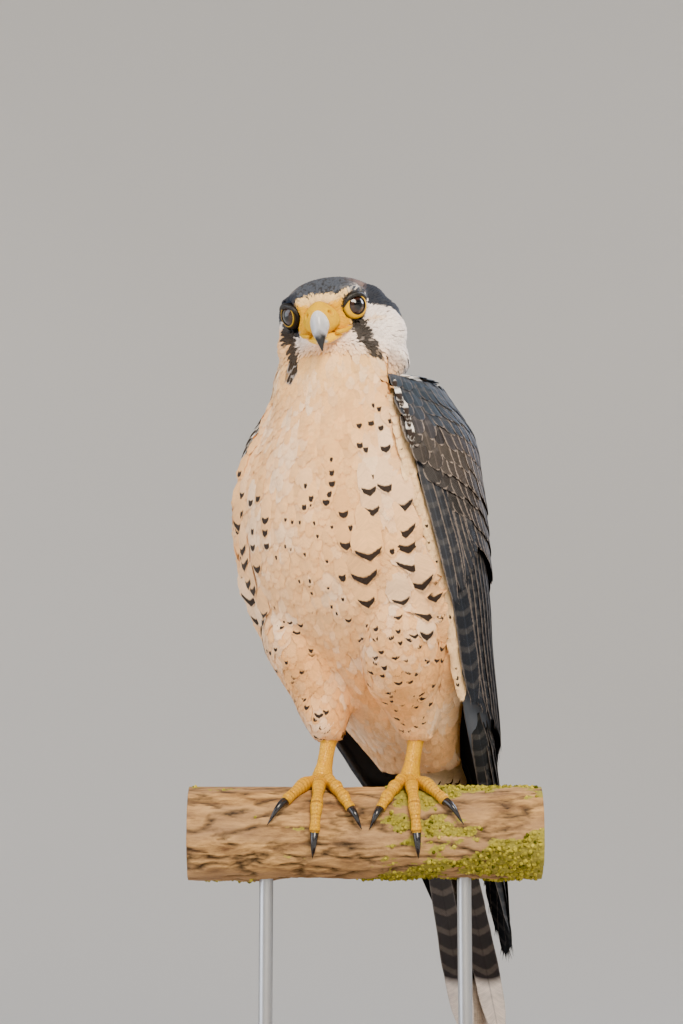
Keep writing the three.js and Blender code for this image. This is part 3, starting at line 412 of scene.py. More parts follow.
def makeSkin(nodes):
    joined = bmesh.new()
    for name in nodes:
        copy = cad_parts[name].data.copy()
        joined.from_mesh(copy)
        bpy.data.meshes.remove(copy)
    for x, y, z, radius in fillers:
        place = Matrix.Translation(toRow(fromHead([x, y, z])))
        bmesh.ops.create_icosphere(joined, subdivisions=3, radius=radius / 1000, matrix=place)
    bmesh.ops.remove_doubles(joined, verts=joined.verts, dist=1e-6)
    joined.normal_update()
    for vertex in joined.verts:
        vertex.co += vertex.normal * 0.0003
    mesh = bpy.data.meshes.new("birdSkin")
    joined.to_mesh(mesh)
    joined.free()
    piece = bpy.data.objects.new("birdSkin", mesh)
    bpy.context.scene.collection.objects.link(piece)
    merge = piece.modifiers.new("merge", "REMESH")
    merge.mode, merge.voxel_size = "VOXEL", 0.0014
    relax = piece.modifiers.new("relax", "SMOOTH")
    relax.factor, relax.iterations = 0.5, 14
    whole = bpy.data.meshes.new_from_object(piece.evaluated_get(bpy.context.evaluated_depsgraph_get()))
    piece.modifiers.clear()
    piece.data = whole
    count = len(whole.vertices)
    places, normals = np.zeros(count * 3, np.float32), np.zeros(count * 3, np.float32)
    whole.vertices.foreach_get("co", places)
    whole.vertices.foreach_get("normal", normals)
    places = toBird(places.reshape(-1, 3))
    places = places - normals.reshape(-1, 3) * coatDepth(places)[:, None]
    # the face dips to the eye's ring in front of it and swells to it behind
    radial, depthAt, spread, outward = eyeFrame(places)
    share = ramp(15 - radial, 0, 7.5) * ramp(depthAt, -8, 0)
    above = np.maximum(0, spread @ fromHead([0, 0, 1]) - spread @ fromHead([0, 0, 0]))
    seat = np.interp(radial, [0, 7, 8, 15], [2.0, 2.6, 3.6, 2.5]) + 1.6 * above * ramp(radial, 6, 8)
    places = places + outward * ((seat - depthAt) * share * np.where(depthAt > seat, 1.0, 0.75))[:, None]
    # the right flank and the side of the neck are fuller than the solids
    flankSide = ramp(-places[:, 0], 22, 50) * np.exp(-((places[:, 2] - 172) / 24) ** 2) * 5.0
    neckSide = ramp(-places[:, 0], 8, 26) * np.exp(-((places[:, 2] - 234) / 14) ** 2) * 3.0
    places = places + np.array([-1, 0, 0]) * (flankSide + neckSide)[:, None]
    # the breast rises to the wings' front edges, so that no ledge is left between them
    gap = gapTo(wingTree, places, 16.0)
    ahead = normals.reshape(-1, 3)[:, 1]
    ledge = 4.6 * ramp(15 - gap, 0, 13) * ramp(-ahead, 0.0, 0.3)
    ledge = ledge * ramp(places[:, 2], 50, 90) * ramp(-places[:, 2], -232, -215)
    places = places + normals.reshape(-1, 3) * ledge[:, None]
    whole.vertices.foreach_set("co", toRow(places).astype(np.float32).ravel())
    whole.update()
    bpy.context.view_layer.objects.active = piece
    piece.select_set(True)
    bpy.ops.object.mode_set(mode="EDIT")
    bpy.ops.mesh.select_all(action="SELECT")
    bpy.ops.uv.smart_project(angle_limit=1.2, island_margin=0.002)
    bpy.ops.object.mode_set(mode="OBJECT")
    piece.select_set(False)
    whole.uv_layers[0].name = "OFBake"
    return piece


fleshNodes = ["head", "neck", "torso", "thigh_left", "thigh_right"]
skin = settle(makeSkin(fleshNodes), fleshNodes)
skinMesh = skin.data
skinPoints = np.zeros(len(skinMesh.vertices) * 3, np.float32)
skinMesh.vertices.foreach_get("co", skinPoints)
skinPoints = toBird(skinPoints.reshape(-1, 3))
skinFaces = [tuple(p.vertices) for p in skinMesh.polygons]
skinTree = BVHTree.FromPolygons([tuple(p) for p in skinPoints], skinFaces)
skinUv = np.zeros(len(skinMesh.loops) * 2, np.float32)
skinMesh.uv_layers["OFBake"].data.foreach_get("uv", skinUv)
skinUv = skinUv.reshape(-1, 2)
faceUv = np.array([skinUv[list(p.loop_indices)].mean(0) for p in skinMesh.polygons])
print("skin made:", len(skinFaces), "faces")

hornTree = treeOf(["cere", "bill_upper", "bill_lower"])
tailTree = treeOf(["tail"])


def onSkin(points):
    found = [skinTree.find_nearest(Vector(p)) for p in points]
    return (np.array([tuple(f[0]) for f in found]), np.array([tuple(f[1]) for f in found]),
            np.array([f[2] for f in found]))


def coatLie(points):
    # the way the coat lies: away from the bill over the head, down the body, and along the tail at its root
    h = toHead(points)
    face = unit(h - np.array([0, -33, 3])) * np.array([1, 1, 0.9]) + np.array([0, 0.35, -0.1])
    head = face @ headTurn.T
    down = np.column_stack([points[:, 0] * 0.0035, np.full(len(points), 0.06), np.full(len(points), -1.0)])
    toTail = ramp(-points[:, 2], -80, -30)[:, None] * ramp(points[:, 1], -10, 20)[:, None]
    down = unit(down) * (1 - toTail) + tailWay * toTail
    share = ramp(points[:, 2], 232, 256)[:, None]
    radial, _, spread, _ = eyeFrame(points)
    way = unit(unit(head) * share + down * (1 - share))
    return unit(way + spread * (1.6 * ramp(12 - radial, 0, 5))[:, None])


def combed(roots, lengths, stations, rises, yaw):
    # middle lines that follow the skin along the lie of the coat, rising from it towards their tips
    place, normal, _ = onSkin(roots)
    path, side, out = [], [], []
    before = 0.0
    for s, rise in zip(stations, rises):
        if s > before:
            place, normal, _ = onSkin(place + way * (lengths * (s - before))[:, None])
            before = s
        way = coatLie(place)
        way = unit(way - (way * normal).sum(1, keepdims=True) * normal)
        cross = np.cross(normal, way)
        way = way * np.cos(yaw)[:, None] + cross * np.sin(yaw)[:, None]
        path.append(place + normal * np.broadcast_to(rise, (len(place),))[:, None])
        side.append(np.cross(way, normal))
        out.append(normal)
    return np.stack(path, 1), np.stack(side, 1), np.stack(out, 1)


def scattered(area, spacing, seed):
    # places spread evenly over part of the skin, `spacing` apart
    draw = np.random.default_rng(seed)
    tri = np.array([(f[0], f[k], f[k + 1]) for f in skinFaces for k in range(1, len(f) - 1)])
    a, b, c = (skinPoints[tri[:, k]] for k in range(3))
    centre = (a + b + c) / 3
    keep = area(centre)
    a, b, c, centre = a[keep], b[keep], c[keep], centre[keep]
    size = np.linalg.norm(np.cross(b - a, c - a), axis=1) / 2
    step = spacing(centre)
    wanted = size / step ** 2
    tries = int(wanted.sum() * 7)
    pick = draw.choice(len(a), tries, p=wanted / wanted.sum())
    u, v = draw.random(tries), draw.random(tries)
    over = u + v > 1
    u[over], v[over] = 1 - u[over], 1 - v[over]
    spots = a[pick] + u[:, None] * (b - a)[pick] + v[:, None] * (c - a)[pick]
    steps = step[pick]
    cell = steps.max()
    held, kept = {}, []
    keys = np.floor(spots / cell).astype(int)
    near = [(i, j, k) for i in (-1, 0, 1) for j in (-1, 0, 1) for k in (-1, 0, 1)]
    for n, (spot, key, apart) in enumerate(zip(spots.tolist(), keys.tolist(), (steps ** 2).tolist())):
        clear = True
        for i, j, k in near:
            for x, y, z in held.get((key[0] + i, key[1] + j, key[2] + k), ()):
                if (x - spot[0]) ** 2 + (y - spot[1]) ** 2 + (z - spot[2]) ** 2 < apart:
                    clear = False
                    break
            if not clear:
                break
        if clear:
            held.setdefault(tuple(key), []).append(spot)
            kept.append(n)
    return spots[kept]


# Markings, as regions of the head and body

plumage = {
    "breast": "#f1bb7f", "belly": "#f2bd83", "throat": "#f6c17c", "cheek": "#fff2e9", "forehead": "#f8cf8a",
    "cream": "#f7e2c6", "tawny": "#dd9a55", "crown": "#3a4350", "streak": "#0a0e14", "rufous": "#8b7066",
    "band": "#0d1b2c", "moustache": "#060709", "brow": "#cfc8c2", "mantle": "#333e4c", "nape": "#46474f",
    "lore": "#eaa900", "thigh": "#e9ad6c", "under": "#a8a19d", "blush": "#eec7ad"}
plumage = {part: linear(colour) for part, colour in plumage.items()}
# middle line of the stripe under each eye, on the head's own axes with x outward
moustaches = {
    1: [[16.8, -13.8, -5.5], [18.6, -16.6, -8.5], [21.6, -21.4, -13.9], [24.7, -25.5, -19.5], [27.8, -29.3, -25.2]],
    -1: [[19.5, -6, -4], [21.5, -8, -8], [22.0, -11, -13], [21.3, -16.6, -18.3], [22.8, -21.5, -25],
         [24.5, -26.3, -31.7]]}


def mixed(colour, other, share):
    return colour * (1 - share[:, None]) + other * share[:, None]


def plumageAt(points, seed):
    # colour of the coat at places on the bird, each a little different from the next
    draw = np.random.default_rng(seed)
    h = toHead(points)
    x, y, z = np.abs(h[:, 0]), h[:, 1], h[:, 2]
    bx, by, bz = np.abs(points[:, 0]), points[:, 1], points[:, 2]
    loose = draw.normal(0, 1, len(points))
    colour = np.tile(plumage["belly"], (len(points), 1))
    colour = mixed(colour, plumage["breast"], ramp(bz, 90, 170))
    colour = mixed(colour, plumage["throat"], ramp(bz, 205, 240))
    colour = mixed(colour, plumage["thigh"], ramp(-bz, -95, -70) * ramp(-by, -12, 0))
    # soft washes of cream and tawny, some centimetres across
    wash = np.array([noise.fractal(Vector(p), 1.0, 2.0, 2) for p in points * np.array([0.045, 0.045, 0.02])])
    colour = mixed(colour, plumage["cream"], 0.5 * ramp(wash + loose * 0.25, -0.1, 0.9))
    colour = mixed(colour, plumage["tawny"], 0.3 * ramp(-wash - loose * 0.25, 0.0, 0.9))
    section = atHeight(trunkRows, bz)
    rear = np.interp(bz, [214, 228, 238, 250, 260, 270, 285], [0, -14, -14, -6, -12, -14, -8])
    rear = np.where(bz < 214, section[:, 0] + (section[:, 1] - section[:, 0]) * 0.66, rear)
    back = ramp(by - rear + loose * 1.2, -3, 3)
    mantle = mixed(np.tile(plumage["mantle"], (len(points), 1)), plumage["nape"], ramp(bz, 215, 240))
    colour = colour * (1 - back[:, None]) + mantle * back[:, None]
    onHead = ramp(bz + 0.25 * by, 224, 242)
    head = np.tile(plumage["cheek"], (len(points), 1))
    head = mixed(head, plumage["throat"], ramp(19 - x, 0, 9) * (0.25 + 0.5 * ramp(-z, 17, 26)) * ramp(-z, 5, 11))
    head = mixed(head, plumage["breast"], ramp(-h[:, 0], 18, 22) * ramp(-z, 4, 9))
    head = mixed(head, plumage["blush"], 0.55 * np.exp(-((x - 24) ** 2 + (y + 22) ** 2 + (z + 25) ** 2) / 60))
    head = mixed(head, plumage["forehead"], ramp(-y, 12, 15) * ramp(z, -9, -4))
    head = mixed(head, plumage["lore"], ramp(-y, 19.0, 21.0) * ramp(z, -12, -9) * ramp(-z, -10.4, -8.2))
    front = np.interp(x, [0, 8, 12, 15, 17], [-20.6, -20.0, -19.0, -16.3, -14])
    lower = np.interp(y, [-25, -13, -9, -6, -3, 1, 4], [10.4, 10.4, 8.5, 1.5, -2.6, -4.6, -30])
    top = ramp(y - front + loose * 0.8, -1.2, 1.0) * ramp(z - lower + loose * 0.5, -1.0, 1.0)
    behind = np.interp(z, [-45, -30, -20, -12, -8, -1], [-6, 2, 8, 8, 4.6, 1.6])
    crown = np.maximum(top, ramp(y - behind + loose * 0.7, -1.2, 1.2))
    slate = mixed(np.tile(plumage["crown"], (len(points), 1)), plumage["streak"], (loose > 0.4) * 0.8)
    slate = mixed(slate, plumage["rufous"], 0.75 * np.exp(-((x - 22) ** 2 + (y - 5) ** 2 + (z - 11) ** 2) / 55))
    slate = mixed(slate, plumage["rufous"], 0.25 * ramp(y, 16, 30) * (loose < 0.2))
    band = ramp(9 - np.linalg.norm(np.column_stack([y - 8, (z - 1) * 1.6]) * 0.55, axis=1), 0, 2) * ramp(y, -8, -4)
    slate = mixed(slate, plumage["band"], band)
    head = head * (1 - crown[:, None]) + slate * crown[:, None]
    brow = np.exp(-((z - 12.6) / 1.3) ** 2) * ramp(y, -17, -14) * ramp(-y, 0, 4) * (loose > -0.3)
    head = mixed(head, plumage["brow"], brow * 0.95)
    radial = eyeFrame(points)[0]
    head = mixed(head, plumage["under"], ramp(10.5 - radial, 0, 2) * ramp(-z, 0, 3) * ramp(y, -19, -15) * 0.8)
    head = mixed(head, plumage["band"], ramp(9.6 - radial + loose * 0.3, 0, 0.8) * ramp(z, 2, 4) * 0.9)
    # round the right eye only the feathers are darkened to near black: painted shade of the side away from the light
    head = mixed(head, plumage["band"], ramp(13.0 - radial + loose * 0.5, 0, 1.4) * (h[:, 0] < 0) * ramp(y, -21, -18))
    colour = colour * (1 - onHead[:, None]) + head * onHead[:, None]
    nape = ramp(by - rear + loose, 5, 9) * ramp(-z, 10, 16) * onHead
    colour = mixed(colour, plumage["nape"], nape)
    folded = np.column_stack([x, y, z])
    for side, curve in moustaches.items():
        apart = np.full(len(points), 99.0)
        for start, end in zip(np.array(curve[:-1]), np.array(curve[1:])):
            span = end - start
            t = np.clip(((folded - start) @ span) / (span @ span), 0, 1)
            apart = np.minimum(apart, np.linalg.norm(folded - start - t[:, None] * span, axis=1))
        width = 4.6 + 1.4 * ramp(z, -15, -7) if side > 0 else 4.4 + 3.4 * ramp(z, -16, -8)
        stripe = ramp(width + loose * 0.8 - apart, 0, 1.2) * (h[:, 0] * side > 0)
        grey = draw.random(len(points)) < (0.08 if side > 0 else 0.04)
        colour = mixed(colour, plumage["moustache"], stripe * np.where(grey, 0.8, 0.97))
    return colour * (1 + 0.05 * draw.normal(0, 1, len(points)))[:, None]


# The view of the photo, as places on the bird
seen = {"eye": toBird(photoView["eye"]), "middle": toBird(photoView["middle"])}
seen["right"] = unit(np.cross(upward, seen["eye"] - seen["middle"]))
seen["up"] = unit(np.cross(seen["eye"] - seen["middle"], seen["right"]))


def acrossView(points):
    # millimetres right of and above the middle of the photo, in the plane through its middle
    away = points - seen["eye"]
    depth = unit(seen["middle"] - seen["eye"])
    flat = away * (np.linalg.norm(seen["middle"] - seen["eye"]) / (away @ depth))[:, None]
    return flat @ seen["right"], flat @ seen["up"]


def marksAt(points, seed):
    # half-width and thickness of each feather's chevron, a dot in the middle of the breast
    draw = np.random.default_rng(seed)
    right, up = acrossView(points)
    dots = ramp(right, -40, -34) * ramp(-right, -4, 2) * ramp(-up, -14, -6) * (points[:, 1] < -10)
    chance = dots * 0.17
    half = draw.uniform(0.9, 1.3, len(points))
    thigh = (points[:, 2] < 92) & (points[:, 1] < 12)
    chance = np.where(thigh, 0.25 * ramp(np.abs(points[:, 0]), 10, 18), chance)
    half = np.where(thigh, draw.uniform(1.6, 3.4, len(points)), half)
    side = (np.abs(points[:, 0]) > 48) & (points[:, 2] > 92) & (points[:, 2] < 205) & (points[:, 1] > -22)
    chance = np.where(side, 0.16, chance)
    half = np.where(side, draw.uniform(2, 3.4, len(points)), half)
    shown = (draw.random(len(points)) < chance) & (points[:, 1] < 45)
    return np.where(shown, half, noMark), np.full(len(points), 1.25)


def underWing(points, shift=0.0):
    # whether the wing's solid stands outside each place on the skin
    _, normals, _ = onSkin(points)
    rays = zip(points + np.array([0, -shift, 0]) + normals * 0.5, normals)
    return np.array([wingTree.ray_cast(Vector(p), Vector(n), 60)[0] is not None for p, n in rays])


def clearPlaces(spots):
    # leaves out places under the wings, in the eyes' rings, on the bill and under the tail's root
    radial, depth, _, _ = eyeFrame(spots)
    inRing = (radial < 7.3) & (depth > -2) & (depth < 14)
    bill = gapTo(hornTree, spots, 4.0) < 0.9
    wing = gapTo(wingTree, spots, 6.0) < 1.2
    tail = gapTo(tailTree, spots, 6.0) < 2.4
    sole = (spots[:, 2] < 29) & (spots[:, 1] < 30)
    spots = spots[~(inRing | bill | wing | tail | sole)]
    return spots[~(underWing(spots) & underWing(spots, 9.0))]


def plantCoat(name, spots, style, spacing, marked, seed):
    draw = np.random.default_rng(seed)
    roots, _, faces = onSkin(spots)
    step = spacing(roots)
    length = step * style["long"] * draw.uniform(0.88, 1.12, len(roots))
    half = step * style["wide"] * draw.uniform(0.9, 1.1, len(roots))
    yaw = draw.normal(0, style["stray"], len(roots))
    depth = coatDepth(roots)
    rises = [depth * r for r in style["rises"]]
    path, side, out = combed(roots, length, style["stations"], rises, yaw)
    vanes = makeVanes(path, side, out, half, length, style, seed + 1)
    middle = path[:, -2]
    ground = plumageAt(middle, seed + 2)
    mark, thick = marksAt(middle, seed + 3) if marked else (np.full(len(roots), noMark), np.ones(len(roots)))
    dull = 1 - ramp(ground.mean(1), 0.12, 0.3)
    mark = np.where(dull > 0.3, noMark, mark)
    traits = {"ground": ground, "trait": np.column_stack([mark, thick, dull * style["edge"]]),
              "size": np.column_stack([length, half, draw.random(len(roots))])}
    patches = (faceUv[faces] - tuftPatch / 2, tuftPatch)
    piece = dressed(name, vanes, traits, patches, bodyFeather, slot="feathers_pale")
    print(name, len(roots), "feathers,", len(piece.data.polygons), "faces")
    return piece


def headStep(points):
    far = np.linalg.norm(toHead(points) - np.array([0, -32, 0]), axis=1)
    return np.interp(far, [6, 20, 45, 75], [0.8, 1.05, 1.45, 1.9])


def bodyStep(points):
    return np.interp(points[:, 2], [0, 60, 120, 200, 235, 262], [3.0, 3.3, 3.7, 3.3, 2.4, 1.9])


def headArea(points):
    return points[:, 2] + 0.25 * points[:, 1] > 232


headStyle = {"stations": [0, 0.3, 0.6, 0.82], "shape": [0.5, 1.0, 0.95, 0.66], "columns": 5, "camber": 0.12, "bow": 0.3,
             "ragged": 0.12, "long": 4.4, "wide": 0.8, "stray": 0.1, "rises": [-0.1, 0.7, 0.92, 1.02], "edge": 0.05}
bodyStyle = {"stations": [0, 0.2, 0.42, 0.62, 0.78, 0.88], "shape": [0.4, 0.85, 1.0, 1.0, 0.86, 0.6], "columns": 11,
             "camber": 0.1, "bow": 0.42, "ragged": 0.14, "long": 5.0, "wide": 1.1, "stray": 0.1,
             "rises": [-0.05, 0.62, 0.82, 0.91, 0.96, 0.99], "edge": 0.8}
headSpots = clearPlaces(scattered(headArea, headStep, 11))
plantCoat("coat_head", headSpots, headStyle, headStep, False, 21)
bodySpots = clearPlaces(scattered(lambda p: ~headArea(p), bodyStep, 12))
front = bodySpots[:, 1] < atHeight(trunkRows, bodySpots[:, 2])[:, :2].mean(1)
upper = bodySpots[:, 2] > 128
plantCoat("coat_breast", bodySpots[front & upper], bodyStyle, bodyStep, True, 31)
plantCoat("coat_belly", bodySpots[front & ~upper], bodyStyle, bodyStep, True, 35)
plantCoat("coat_back", bodySpots[~front], bodyStyle, bodyStep, True, 41)
# between the shoulders the coat stands as high as the wings beside it
saddleStyle = dict(bodyStyle, rises=[0.5, 1.7, 2.2, 2.5, 2.6, 2.65], stray=0.05, long=4.6, edge=0.3)
x, z = np.meshgrid(np.linspace(-13, 15, 9), np.linspace(238, 168, 22))
saddleSpots = np.column_stack([x.ravel() + 1.6 * (np.arange(x.size) // 9 % 2), np.full(x.size, 70.0), z.ravel()])
plantCoat("coat_saddle", saddleSpots, saddleStyle, lambda p: np.full(len(p), 4.4), False, 45)

# The flanks' large feathers lie over the rest, each with one chevron where the photo has one. Each row is a mark's
# place right of and above the middle of the photo and its half-width, all in millimetres.
marks = {
    "breast": [[18.6, 60, 0.9], [22.2, 58, 1.4], [27.5, 50.5, 0.9], [10.2, 48, 1.5], [17, 49.3, 1.8], [23.1, 46.7, 1.6],
               [10.8, 37, 2], [14, 34.5, 1.6], [25.9, 34.8, 3], [17, 28, 2], [-4.8, 29, 0.9]],
    "near": [[18.5, 18.8, 3.2], [16.2, 10.3, 4.2], [18, -1, 4.2], [15.4, -6, 2], [17, -14.6, 4.8], [16.6, -25, 7.2],
             [14.6, -37.2, 7.4], [15.4, -49.3, 5]],
    "far": [[26.2, 12, 5.2], [37, 2.2, 5.2], [37, -12.3, 7], [38, -20.6, 7.8], [40.2, -30.8, 8.2], [46.5, -39.6, 7.6],
            [50.5, -50, 4.4], [34, -50, 5], [46.5, -58, 8.2], [46.5, -69.5, 4.4]],
    "middle": [[-4.6, 21.4, 1.6], [-4.4, 15, 1.9], [-5.8, 9.4, 1.7], [-7.1, 4.8, 2.2], [2.2, -2.3, 2.8],
               [5.7, -9.3, 1.7], [4, -19.4, 3.8], [1.7, -36.2, 2.2], [29, -22, 1.4], [-15.8, 7, 1.6],
               [-19, 14.2, 1.1], [-19.4, 2.2, 1.6]],
    "outer": [[-52.4, 36, 1.3], [-59.8, 20.5, 1.5], [-55.8, 21, 1.6], [-54, 8.6, 2.1], [-49, 4.3, 2.1], [-45, 6.6, 1.8],
              [-54.4, -1.8, 2.6], [-40.8, -5.7, 2.4], [-56.4, -10.8, 1.8], [-47.6, -11.4, 1.5], [-40.8, -12.3, 2],
              [-58.4, -19, 2.4], [-47.3, -20.3, 2.3], [-39.8, -19.6, 1.9], [-52.7, -26.8, 2.8], [-44.7, -32, 3.2],
              [-52.2, -37.6, 2.6], [-47, -43.7, 4.4], [-48.5, -54, 3.4], [-41, -62, 3], [-50, -66, 3]]}
flank = {"length": 26.0, "stations": [0, 0.16, 0.34, 0.52, 0.68, 0.8, 0.88, 0.93],
         "shape": [0.35, 0.75, 0.95, 1.0, 1.0, 0.93, 0.76, 0.5],
         "rises": [0.3, 0.84, 0.95, 1.0, 1.02, 1.04, 1.05, 1.05],
         "columns": 21, "camber": 0.1, "bow": 0.35, "ragged": 0.12, "beforeTip": 3.6}
draw = np.random.default_rng(51)
spots, halves = [], []
for right, up, half in [row for group in marks.values() for row in group]:
    half = half * (1.35 if right < -35 else 1.1)
    aim = seen["middle"] + seen["right"] * right + seen["up"] * up - seen["eye"]
    hit = skinTree.ray_cast(Vector(seen["eye"]), Vector(unit(aim)))[0]
    if hit is not None:
        spots.append(tuple(hit))
        halves.append(half)
spots, halves = np.array(spots), np.array(halves)
spots = np.concatenate([spots, spots * np.array([-1, 1, 1])])  # the hidden side has the same marks
halves = np.concatenate([halves, halves])
hidden = np.arange(len(spots)) >= len(spots) // 2
seenNow = np.abs(np.arctan2(spots[:, 0], -spots[:, 1] + 20)) < 0.62
keep = ~hidden | (~seenNow & (gapTo(wingTree, spots, 4.0) > 1.5) & ~underWing(spots))
keep &= ~hidden | (spots[:, 0] < 0)
spots, halves = spots[keep], halves[keep]
flankLength = flank["length"] * np.interp(halves, [1, 5], [0.62, 1.0])
flankHalf = np.maximum(4.2, halves + 1.5)
roots = spots
for _ in range(4):  # back from each mark to the root of its feather
    place, normal, _ = onSkin(roots)
    roots = place - coatLie(place) * ((flankLength - flank["beforeTip"]) / 4)[:, None]
roots, _, faces = onSkin(roots)
depth = coatDepth(roots)
lift = np.interp(halves, [2, 8], [0.1, 0.9])  # the larger feathers lie on top
rises = [depth * r + lift * min(1, r) for r in flank["rises"]]
path, side, out = combed(roots, flankLength, flank["stations"], rises, np.zeros(len(roots)))
vanes = makeVanes(path, side, out, flankHalf, flankLength, flank, 52)
ground = plumageAt(path[:, -2], 53)
thickness = np.interp(halves, [1, 3, 7], [1.8, 2.2, 2.7])
traits = {"ground": ground, "trait": np.column_stack([halves, thickness, halves * 0]),
          "size": np.column_stack([flankLength, flankHalf, draw.random(len(roots))])}
dressed("coat_flanks", vanes, traits, (faceUv[faces] - tuftPatch / 2, tuftPatch), bodyFeather, slot="feathers_pale")
print("flanks:", len(roots), "feathers")

wingFront = [
    [230, 32, -25], [222, 40, -37], [196, 53, -46], [168, 60, -46], [140, 65, -39], [122, 66.5, -31],
    [100, 65.5, -19], [80, 62, -5], [60, 57, 10], [40, 52, 25], [0, 41, 61], [-41, 29, 98], [-70, 24, 119],
    [-96, 20, 138]]
wingSide = [
    [230, 38, -8], [222, 56, -7], [196, 74.5, -3], [168, 78.5, 1], [140, 79, 8], [122, 77.5, 14], [100, 74, 22],
    [80, 68, 32], [60, 62, 44], [40, 56, 57], [0, 42, 85], [-41, 26, 115], [-70, 19, 130], [-96, 14, 142]]
wingRear = [
    [230, 15, 14], [222, 17, 20], [196, 17, 34], [168, 15, 46], [140, 12, 55], [122, 10, 61], [100, 7, 68],
    [80, 5, 75], [60, 4, 81], [40, 4, 89], [0, 4, 105], [-41, 4, 122], [-70, 5, 134], [-96, 7, 143]]
wingDepth = [[230, 2.5], [196, 5], [140, 5.5], [80, 4.5], [40, 2.8], [0, 1.8], [-41, 1.6], [-96, 1.4]]
wingNap = [[230, 3.5], [205, 8], [150, 8.2], [110, 7], [60, 5.2], [20, 4], [0, 3], [-41, 1.6], [-96, 1]]
rightWing = np.array([3, 7, 0])


def wingPoint(z, across):
    f, s, r = (atHeight(rows, z) for rows in (wingFront, wingSide, wingRear))
    bend = 2 * s - (f + r) / 2
    t = np.asarray(across, float)[:, None]
    return np.column_stack([(1 - t) ** 2 * f + 2 * t * (1 - t) * bend + t ** 2 * r, z])


def wingOut(z, across):
    side = wingPoint(z, np.minimum(across + 0.03, 1.03)) - wingPoint(z, across - 0.03)
    lie = wingPoint(z - 2, across) - wingPoint(z + 2, across)
    return unit(np.cross(lie, side))


def napAt(z, across):
    return atHeight(wingNap, z)[:, 0] * np.minimum(1, 0.3 + across * 5)


# The skin carries the coat's colours
skinMaterial, tree = newMaterial("featheredSkin")  # skin under the down: matt, with the coat's own colours
ground = add(tree, "Attribute", attribute_name="ground")
bump = add(tree, "Bump", {"Height": add(tree, "TexNoise", {"Scale": 900.0, "Detail": 3.0}), "Strength": 0.3,
                          "Distance": 0.0003})
surface = add(tree, "BsdfPrincipled", {"Base Color": ground.outputs["Color"], "Normal": bump, "Roughness": 0.85,
                                       "IOR": 1.45})
add(tree, "OutputMaterial", {"Surface": surface})
layer = skinMesh.attributes.new("ground", "FLOAT_VECTOR", "POINT")
layer.data.foreach_set("vector", (plumageAt(skinPoints, 61) * 0.9).astype(np.float32).ravel())
skinMesh.materials.clear()
skinMesh.materials.append(skinMaterial)
skinMesh.polygons.foreach_set("use_smooth", np.ones(len(skinMesh.polygons), bool))

# Wings

# Rows from the ones underneath to the ones on top. A root is its height and its places across, from the front edge
# at 0 to the rear edge at 1; each tip is a height and a place across. Lift is the height over the wing's face.
wingRows = [
    *[{"name": "lowerBack", "count": 4, "root": [30 + 15 * r, 0.84, 1.02], "half": 8.0,
       "lift": [1.4 + 0.2 * r, 2.6 + 0.2 * r], "tips": [[-4 + 15 * r, 0.84], [-2 + 15 * r, 1.03]],
       "tone": "#323c48", "edge": 0.35} for r in range(6)],
    {"name": "primaries", "count": 8, "root": [38, 0.09, 0.6], "half": 6.2, "lift": [1.0, 2.4],
     "tips": [[-80, 0.12], [-93, 0.4], [-96, 0.66], [-84, 0.82], [-70, 0.88], [-54, 0.9], [-38, 0.9], [-22, 0.9]],
     "tone": "#15191e", "edge": 0.3},
    {"name": "secondaries", "count": 16, "root": [138, 0.05, 0.68], "half": 5.6, "lift": [3.0, 4.6],
     "tips": [[46, 0.06], [10, 0.76]], "tone": "#171c24", "edge": 0.45},
    {"name": "tertials", "count": 6, "root": [142, 0.62, 0.95], "half": 7.4, "lift": [3.4, 5.4],
     "tips": [[34, 0.7], [44, 0.82], [66, 0.96]], "tone": "#1d2733", "edge": 0.55},
    {"name": "primaryCoverts", "count": 8, "root": [196, 0.03, 0.24], "half": 3.6, "lift": [5.0, 6.6],
     "tips": [[96, 0.035], [128, 0.24]], "tone": "#23262c", "edge": 0.6},
    *[{"name": "greaterCoverts", "count": 15, "root": [[166, 176, 186][r], 0.16 - 0.05 * r, 0.72], "half": 5.6,
       "lift": [4.4 + 0.6 * r, 6.2 + 0.6 * r],
       "tips": [[[134, 149, 162][r], 0.18 - 0.05 * r], [[104, 117, 129][r], 0.72]],
       "tone": ["#212226", "#282626", "#2d2a29"][r], "edge": 0.7} for r in range(3)],
    *[{"name": "coverts", "count": 15, "root": [199 + 5.6 * r, 0.02, 0.74], "half": 5.4 - 0.35 * r,
       "lift": [6.6 + 0.2 * r, 8.2 + 0.1 * r], "tips": [[173 + 8.4 * r, 0.03], [140 + 11.5 * r, 0.75]],
       "tone": ["#38322e", "#3a342f", "#343133", "#2b313a", "#2a333e", "#28323d"][r],
       "edge": [1, 1, 0.9, 0.6, 0.4, 0.3][r]} for r in range(6)],
    *[{"name": "scapulars", "count": 10, "root": [104 + 8.4 * r, 0.69, 0.99], "half": 5.4,
       "lift": [3.6 + 0.3 * r, 5.0 + 0.3 * r], "tips": [[78 + 8.7 * r, 0.7], [84 + 8.7 * r, 1.0]],
       "tone": "#26313e", "edge": 0.3} for r in range(16)],
]
flightStyle = {"columns": 13, "camber": 0.12, "ragged": 0.03, "bow": 0.5}
flightStyle["stations"] = np.concatenate([np.linspace(0, 0.9, 20), [0.94, 0.965]])
flightStyle["shape"] = np.interp(flightStyle["stations"], [0, 0.12, 0.4, 0.75, 0.9, 0.965],
                                 [0.45, 0.85, 1, 1, 0.82, 0.5])
covertStyle = {"columns": 11, "camber": 0.16, "ragged": 0.02, "bow": 0.3}
covertStyle["stations"] = np.array([0, 0.2, 0.4, 0.58, 0.72, 0.82, 0.89, 0.94, 0.97, 0.985])
covertStyle["shape"] = np.array([0.45, 0.85, 1.0, 1.0, 1.0, 0.97, 0.88, 0.72, 0.53, 0.36])


